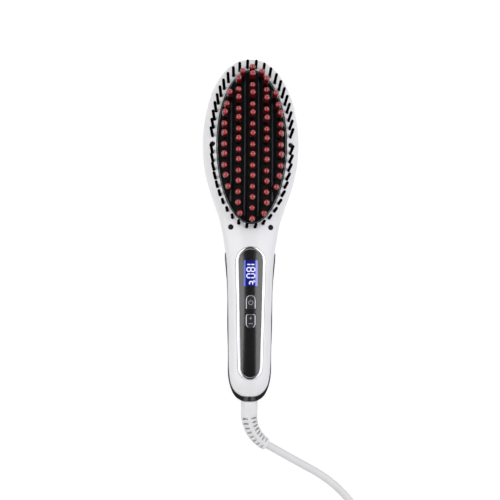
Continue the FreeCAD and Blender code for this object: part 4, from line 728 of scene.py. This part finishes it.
def panel_outline(grow, steps):
    """Outline of the panel: its round ends and the straight sides that touch both."""
    (head, head_radius), (tail, tail_radius) = PANEL_HEAD, PANEL_TAIL
    slope = math.degrees(math.asin((head_radius - tail_radius) / (head[1] - tail[1])))
    around_head = arc_path(head, head_radius + grow, -slope, 180 + slope, steps)
    around_tail = arc_path(tail, tail_radius + grow, 180 + slope, 360 - slope, steps)
    sides = []
    for start, end in ((around_head[-1], around_tail[0]), (around_tail[-1], around_head[0])):
        sides.append([(start[0] + (end[0] - start[0]) * share / steps,
                       start[1] + (end[1] - start[1]) * share / steps) for share in range(1, steps)])
    return around_head + sides[0] + around_tail + sides[1]


RING_SECTION = [(-RING_HALF, -1.3), (-RING_HALF, -0.55), (-0.86, -0.2), (-0.6, -0.05), (0, 0.0), (0.6, -0.05),
                (0.86, -0.2), (RING_HALF, -0.55), (RING_HALF, -1.3)]
ring_shape = bmesh.new()
strip(ring_shape, panel_outline(RING_MIDDLE, steps=40), RING_SECTION, "panel_ring", closed=True)
# Plastic with a bright chrome plate: a mirror with faint waves.
CHROME = moulded("chrome-plated ABS", ("#EDEDEE", "#E2E2E4"), (0.06, 0.1), patch_mm=8, grain_mm=3.0,
                 depth_mm=0.004, Metallic=1.0)
ring = add_object("panel_ring_bead", close_mesh(ring_shape, "panel_ring_bead", BEAD_EDGE), CHROME)
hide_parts("panel_ring")
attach(ring, "brush")
print(len(ring.data.polygons), "faces on the ring")

# %% [markdown]
# ## Panel and buttons
# The panel and both buttons are black acrylic with a clear lacquer over it: two glossy layers, so it
# reflects about twice as much as bare plastic. A coat on the shader is that lacquer.

# %% Panel and buttons
# Acrylic, moulded and lacquered: a black mirror.
PIANO_BLACK = moulded("lacquered acrylic, piano black", ("#0A090B", "#0F0E11"), (0.18, 0.24), patch_mm=14,
                      grain_mm=6.0, depth_mm=0.001, IOR=1.5, Coat_Weight=0.85, Coat_Roughness=0.16,
                      Coat_IOR=1.5)
# The buttons are of the same acrylic, but with a fine spark texture under the thumb, which greys the black.
BUTTON_BLACK = moulded("textured acrylic, charcoal", ("#1E1D20", "#2C2B2F"), (0.24, 0.34), patch_mm=1.2,
                       grain_mm=0.5, depth_mm=0.006, IOR=1.5, Coat_Weight=0.3, Coat_Roughness=0.2,
                       Coat_IOR=1.5)
paint(PIANO_BLACK, "control_panel")
paint(BUTTON_BLACK, "power_button", "temperature_button")
print("panel and buttons painted")

# %% [markdown]
# ## Lines and signs on the buttons
# Each button has a bright line along its edge, open towards the other button, and a printed sign. The
# lines are raised beads of satin plated metal. The signs are thin prints, so their section is flat
# and only just above the face. Drawn in the finish they would have no edge, and they would blur when
# seen from near.

# %% Button lines and signs
BUTTON_HALF = 3.55
LINE_INSET = 0.42
LINE_END_GAP = 0.4
CORNER_POINTS = [(1.6, 0), (0.5, 0.05), (0.1, 0.5), (0, 1.6)]
FOOT_ARC = 58
THIN_LINE_INSET = 1.4
LINE_SECTION = [(-0.27, -0.25), (-0.27, 0.02), (-0.14, 0.12), (0.14, 0.12), (0.27, 0.02), (0.27, -0.25)]
THIN_LINE_SECTION = [(-0.14, -0.25), (-0.14, 0.0), (0, 0.06), (0.14, 0.0), (0.14, -0.25)]
SIGN_SECTION = [(-0.2, -0.2), (-0.2, 0.03), (0.2, 0.03), (0.2, -0.2)]
POWER_TOP, POWER_FOOT = -50.2, -60.4
TEMPERATURE_TOP, TEMPERATURE_FOOT = -63.6, -73.8
POWER_SIGN_PLACE, POWER_SIGN_RADIUS = (0, -55.6), 1.55
POWER_STROKE = [(0, -55.3), (0, -54.4), (0, -53.5)]
PLUS_PLACE, PLUS_HALF = -66.6, 0.9
MINUS_PLACE, MINUS_HALF = -70.4, 1.5

edge = BUTTON_HALF - LINE_INSET
power_round = (0, POWER_TOP - BUTTON_HALF)
power_middle = (POWER_FOOT + power_round[1]) / 2
power_line = [(edge, POWER_FOOT + LINE_END_GAP), (edge, power_middle)]
power_line += arc_path(power_round, edge, 0, 180, steps=20)
power_line += [(-edge, power_middle), (-edge, POWER_FOOT + LINE_END_GAP)]
temperature_round = (0, TEMPERATURE_FOOT + BUTTON_HALF)
line_top = TEMPERATURE_TOP - LINE_INSET
temperature_lines = []
for side in (-1, 1):
    corner = [(side * (edge - inset), line_top - drop) for inset, drop in CORNER_POINTS]
    start = 180 if side < 0 else 0
    foot = arc_path(temperature_round, edge, start, start - side * FOOT_ARC, steps=10)
    temperature_lines.append(corner + foot)
thin_half = edge - THIN_LINE_INSET
thin_line = [(thin_half, line_top), (0, line_top), (-thin_half, line_top)]

power_sign = [arc_path(POWER_SIGN_PLACE, POWER_SIGN_RADIUS, 125, 415, steps=24), POWER_STROKE]
temperature_signs = [[(reach * PLUS_HALF, PLUS_PLACE) for reach in (-1, 0, 1)],
                     [(0, PLUS_PLACE - reach * PLUS_HALF) for reach in (-1, 0, 1)],
                     [(reach * MINUS_HALF, MINUS_PLACE) for reach in (-1, 0, 1)]]

# Plastic with a satin chrome plate: an even silver that mirrors nothing sharply.
SATIN_CHROME = moulded("satin chrome plate", ("#B9B9BE", "#A9A9AF"), (0.36, 0.44), patch_mm=4,
                       grain_mm=0.5, depth_mm=0.002, Metallic=1.0)
# Screen print, matt light grey.
PRINT_GREY = moulded("screen print, light grey", ("#A9A9AC", "#9A9A9D"), (0.45, 0.55), patch_mm=2,
                     grain_mm=0.2, depth_mm=0.002, IOR=1.5)
BUTTONS = [("power_button", "power_key", [power_line], power_sign),
           ("temperature_button", "temperature_key", temperature_lines, temperature_signs)]
for button, body, lines, signs in BUTTONS:
    trims = [("line", lines, LINE_SECTION, SATIN_CHROME, "bright_ring"),
             ("sign", signs, SIGN_SECTION, PRINT_GREY, "button_gloss")]
    for label, paths, section, finish, slot in trims:
        shape = bmesh.new()
        for path in paths:
            strip(shape, path, section, button)
        if label == "line" and button == "temperature_button":
            strip(shape, thin_line, THIN_LINE_SECTION, button)
        piece = add_object(f"{button}_{label}", close_mesh(shape, f"{button}_{label}", PRINT_EDGE), finish)
        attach(piece, body)
        print(piece.name, len(piece.data.polygons), "faces")

# %% [markdown]
# ## The lit display
# A blue backlit display shows the temperature. The blue comes from lamps at both long edges, so it is
# paler there. Position along X drives that glow through a colour ramp, and a slow noise lets it drift
# from lamp to lamp. A painted texture could hold the same glow, but a ramp stays sharp at any size.

# %% Display
DISPLAY_HALF = 4.85
LAMP_SPACING = 5
BACKLIGHT_TONES = [(0.09, "#5F70D8"), (0.14, "#151C72"), (0.5, "#1A1F78"), (0.8, "#1D2180"),
                   (0.86, "#8C8CEB")]
# Acrylic lens over a liquid crystal: a clear gloss, and light that comes from below it.
glass = empty_material("backlit display under clear acrylic")
place = add_node(glass.node_tree, "ShaderNodeTexCoord").outputs["Object"]
across = add_node(glass.node_tree, "ShaderNodeSeparateXYZ", None, {0: place}).outputs["X"]
share = add_node(glass.node_tree, "ShaderNodeMapRange", None,
                 {"Value": across, "From Min": -DISPLAY_HALF * MM, "From Max": DISPLAY_HALF * MM}).outputs[0]
ramp = add_node(glass.node_tree, "ShaderNodeValToRGB", None, {0: share})
ramp.color_ramp.elements[0].color = linear("#7F8FE8")
ramp.color_ramp.elements[1].color = linear("#A9A6F4")
for position, tone in BACKLIGHT_TONES:
    ramp.color_ramp.elements.new(position).color = linear(tone)
lamps = add_node(glass.node_tree, "ShaderNodeTexNoise", None,
                 {"Vector": place, "Scale": 1 / (LAMP_SPACING * MM), "Detail": 1.0})
drift = add_node(glass.node_tree, "ShaderNodeMapRange", None,
                 {"Value": lamps.outputs[0], "To Min": 0.8, "To Max": 1.15}).outputs[0]
lens = add_node(glass.node_tree, "ShaderNodeBsdfPrincipled", None,
                {"Base Color": linear("#05061A"), "Roughness": 0.08, "IOR": 1.49,
                 "Emission Color": ramp.outputs[0], "Emission Strength": drift})
add_node(glass.node_tree, "ShaderNodeOutputMaterial", None, {"Surface": lens.outputs[0]})
paint(glass, "display_window")
print("display glows over", 2 * DISPLAY_HALF, "mm")

# %% [markdown]
# ## Digits
# The digits are turned a quarter turn, so that they read along the handle. They are seven-segment
# strokes with small gaps at the corners, made as strips on the lens. A font would give other forms:
# a display can only show what its segments allow.

# %% Digits
SEGMENT_SECTION = [(-0.4, -0.15), (-0.4, 0.03), (0.4, 0.03), (0.4, -0.15)]
DEGREE_SECTION = [(-0.2, -0.15), (-0.2, 0.03), (0.2, 0.03), (0.2, -0.15)]
SEGMENT_GAP = 0.3
DIGIT_TALL = 5.6
DIGIT_WIDE = 2.7
SEGMENTS = {"a": ((0, 1), (1, 1)), "b": ((1, 1), (1, 0.5)), "c": ((1, 0.5), (1, 0)), "d": ((0, 0), (1, 0)),
            "e": ((0, 0), (0, 0.5)), "f": ((0, 0.5), (0, 1)), "g": ((0, 0.5), (1, 0.5))}
READING = [("bc", -26.0), ("abcdefg", -30.9), ("abcdef", -35.4)]
DEGREE_PLACE, DEGREE_RADIUS = (2.3, -40.6), 0.62
UNIT_PLACE, UNIT_RADIUS = (0.2, -41.9), 1.2


def segment_path(letter, first_y):
    """Ends and middle of a digit's segment, short of the corners, in mm on the turned display."""
    (u0, v0), (u1, v1) = SEGMENTS[letter]
    ends = [Vector(((v - 0.5) * DIGIT_TALL, first_y - u * DIGIT_WIDE)) for u, v in ((u0, v0), (u1, v1))]
    along = (ends[1] - ends[0]).normalized() * SEGMENT_GAP
    return [tuple(ends[0] + along), tuple((ends[0] + ends[1]) / 2), tuple(ends[1] - along)]


digit_shape = bmesh.new()
for letters, first_y in READING:
    for letter in letters:
        strip(digit_shape, segment_path(letter, first_y), SEGMENT_SECTION, "display_window")
degree_sign = arc_path(DEGREE_PLACE, DEGREE_RADIUS, 0, 360, steps=14)[:-1]
strip(digit_shape, degree_sign, DEGREE_SECTION, "display_window", closed=True)
unit_sign = arc_path(UNIT_PLACE, UNIT_RADIUS, 315, 585, steps=14)
strip(digit_shape, unit_sign, SEGMENT_SECTION, "display_window")
# Clear segments of the crystal: the backlight comes through them nearly white.
lit = moulded("lit display segments", ("#DCDCFF", "#C9CBFA"), (0.2, 0.25), patch_mm=3, grain_mm=0.5,
              depth_mm=0.001, IOR=1.49, Emission_Color=linear("#CFD0FF"), Emission_Strength=0.6)
digits = add_object("display_digits", close_mesh(digit_shape, "display_digits", PRINT_EDGE), lit)
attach(digits, "brush")
print(len(digits.data.polygons), "faces on the digits")

# %% [markdown]
# ## Strap
# The coil lies out of the picture, but the model has it, and a woven strap holds it together: a
# rounded rectangle round the coil. Two crossed waves draw its weave, with a thread on top where both
# are high and a darker tone where they are low, which is painted shade in the weave's hollows. Real
# threads are finer, and these are as coarse as they need to be to show.

# %% Strap
STRAP_CORNER = 3.0
STRAP_THICK = 1.0
STRAP_TRIM = 0.2
THREAD_MM = 0.8
THREAD_HEIGHT_MM = 0.15
WAVES_PER_SCALE = 3.2
low, high = [Vector(corner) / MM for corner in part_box("coil_tie")]


def strap_loop(inset):
    """A rounded rectangle across the strap, in mm, inside the CAD solid by an inset."""
    points = []
    radius = STRAP_CORNER - inset
    for y, z, start in ((high.y, high.z, 0), (low.y, high.z, 90), (low.y, low.z, 180), (high.y, low.z, 270)):
        centre = (y - STRAP_CORNER if y == high.y else y + STRAP_CORNER,
                  z - STRAP_CORNER if z == high.z else z + STRAP_CORNER)
        points += arc_path(centre, radius, start, start + 90, steps=6)
    return points


strap_shape = bmesh.new()
outer, inner = strap_loop(0), strap_loop(STRAP_THICK)
left, right = low.x + STRAP_TRIM, high.x - STRAP_TRIM
loops = [[strap_shape.verts.new((x * MM, y * MM, z * MM)) for y, z in loop]
         for loop, x in ((outer, left), (outer, right), (inner, right), (inner, left))]
for first, second in zip(loops, loops[1:] + loops[:1]):
    for number in range(len(first)):
        after = (number + 1) % len(first)
        strap_shape.faces.new((first[number], first[after], second[after], second[number]))
# Polyester, woven: threads that cross over and under, and a dull sheen.
weave = empty_material("woven polyester strap, painted shade in weave")
cloth_place = add_node(weave.node_tree, "ShaderNodeTexCoord").outputs["Object"]
threads = [add_node(weave.node_tree, "ShaderNodeTexWave", {"bands_direction": direction},
                    {"Vector": cloth_place, "Scale": 1 / (THREAD_MM * MM) / WAVES_PER_SCALE}).outputs["Fac"]
           for direction in "XY"]
crossing = add_node(weave.node_tree, "ShaderNodeMath", {"operation": "MULTIPLY"},
                    {0: threads[0], 1: threads[1]}).outputs[0]
# Darker where the threads dip: painted shade in the hollows of the weave.
weave_tone_painted_shade = add_node(weave.node_tree, "ShaderNodeMix", {"data_type": "RGBA"},
                       {0: crossing, 6: linear("#B9B9BB"), 7: linear("#E4E4E5")}).outputs[2]
thread_bump = add_node(weave.node_tree, "ShaderNodeBump", None,
                       {"Height": crossing, "Distance": THREAD_HEIGHT_MM * MM}).outputs[0]
cloth = add_node(weave.node_tree, "ShaderNodeBsdfPrincipled", None,
                 {"Base Color": weave_tone_painted_shade, "Normal": thread_bump, "Roughness": 0.85, "Sheen Weight": 0.3})
add_node(weave.node_tree, "ShaderNodeOutputMaterial", None, {"Surface": cloth.outputs[0]})
strap = add_object("coil_strap", close_mesh(strap_shape, "coil_strap", SHARP_EDGE), weave)
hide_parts("coil_tie")
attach(strap, "cord_end")
print(len(strap.data.polygons), "faces on the strap")

# %% [markdown]
# ## Plug and pins
# The plug has two round pins. Each has a groove half way, where a real pin's sleeve ends, and a
# rounded tip, so that it finds its hole. They are turned forms again, on the axes of the frame's pins.

# %% Plug and pins
PIN_OUTLINE = [(0, 0), (1.9, 0), (1.9, 9.9), (1.75, 10.0), (2.0, 10.1), (2.0, 17.4), (1.75, 18.3),
               (1.1, 18.85), (0, 19.0)]
OUT_OF_PLUG = (0.152, -0.988, 0)
# Brass with a nickel plate: a warm grey mirror with handling haze.
NICKEL = moulded("nickel-plated brass", ("#C9C6C0", "#B8B5AF"), (0.14, 0.26), patch_mm=2, grain_mm=0.3,
                 depth_mm=0.002, Metallic=1.0)
pin_axes = [(foot, along, 1.0) for foot, along, long in axes_of("plug_pins", OUT_OF_PLUG)]
pins = scatter("plug_pins_round", lathe("pin", PIN_OUTLINE, steps=20), pin_axes, width=1.0, finish=NICKEL)
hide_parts("plug_pins")
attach(pins, "cord_end")
paint(PVC_SHEATH, "plug_body")
print(len(pins.data.polygons), "faces on the pins")

# %% [markdown]
# ## Inside
# The pieces inside the shells are seen when the brush is taken apart, so they have finishes too: the
# plain ones of an appliance's parts.

# %% Inside
# Nylon without pigment: a dull, slightly yellow grey.
GREY_NYLON = moulded("moulded nylon, natural grey", ("#8B8A87", "#7D7C7A"), (0.45, 0.55), patch_mm=6,
                     grain_mm=0.4, depth_mm=0.004, IOR=1.53)
# Zinc-plated steel: bright, but blurred by the plate's crystals.
ZINC_STEEL = moulded("zinc-plated steel", ("#B9BBBE", "#A6A8AC"), (0.3, 0.42), patch_mm=3, grain_mm=0.3,
                     depth_mm=0.003, Metallic=1.0)
# Epoxy and phenolic cases: matt black with a sanded look.
CASE_BLACK = moulded("moulded component case", ("#1A1A1B", "#242425"), (0.5, 0.62), patch_mm=3,
                     grain_mm=0.25, depth_mm=0.006, IOR=1.55)
# Solder mask over fibreglass: green lacquer with a weave below.
SOLDER_MASK = moulded("green solder mask", ("#0F5A2C", "#156B37"), (0.25, 0.35), patch_mm=4, grain_mm=0.5,
                      depth_mm=0.004, IOR=1.5)
# Etched brass foil and turned brass: warm yellow metal.
BRASS = moulded("polished brass", ("#C79C4B", "#B58A3C"), (0.2, 0.3), patch_mm=3, grain_mm=0.3,
                depth_mm=0.002, Metallic=1.0)
# Needled ceramic fibre: a pale felt.
FIBRE = moulded("needled ceramic fibre", ("#DAD5C8", "#C8C3B5"), (0.85, 0.95), patch_mm=3, grain_mm=0.4,
                depth_mm=0.15, IOR=1.4)
# Woven glass sleeve, coated: off-white with a faint thread.
GLASS_SLEEVE = moulded("woven glass sleeve", ("#E3E1DA", "#D3D1CA"), (0.6, 0.7), patch_mm=1.5,
                       grain_mm=0.3, depth_mm=0.05, IOR=1.5)
paint(GREY_NYLON, "bristle_retainer_tip", "bristle_retainer_neck", "power_plunger", "temperature_plunger",
      "swivel_bush", "swivel_shaft", "contact_block")
paint(ZINC_STEEL, "clamp_plate", "clamp_screws", "thermal_fuse", "board_screws")
paint(CASE_BLACK, "temperature_sensor", "display_module", "power_switch", "temperature_switch",
      "filter_capacitor", "heater_relay")
paint(SOLDER_MASK, "circuit_board")
paint(BRASS, "foil_heater", "contact_rings", "contact_springs")
paint(FIBRE, "insulating_pad")
paint(GLASS_SLEEVE, "heater_leads")
print("inner pieces painted")
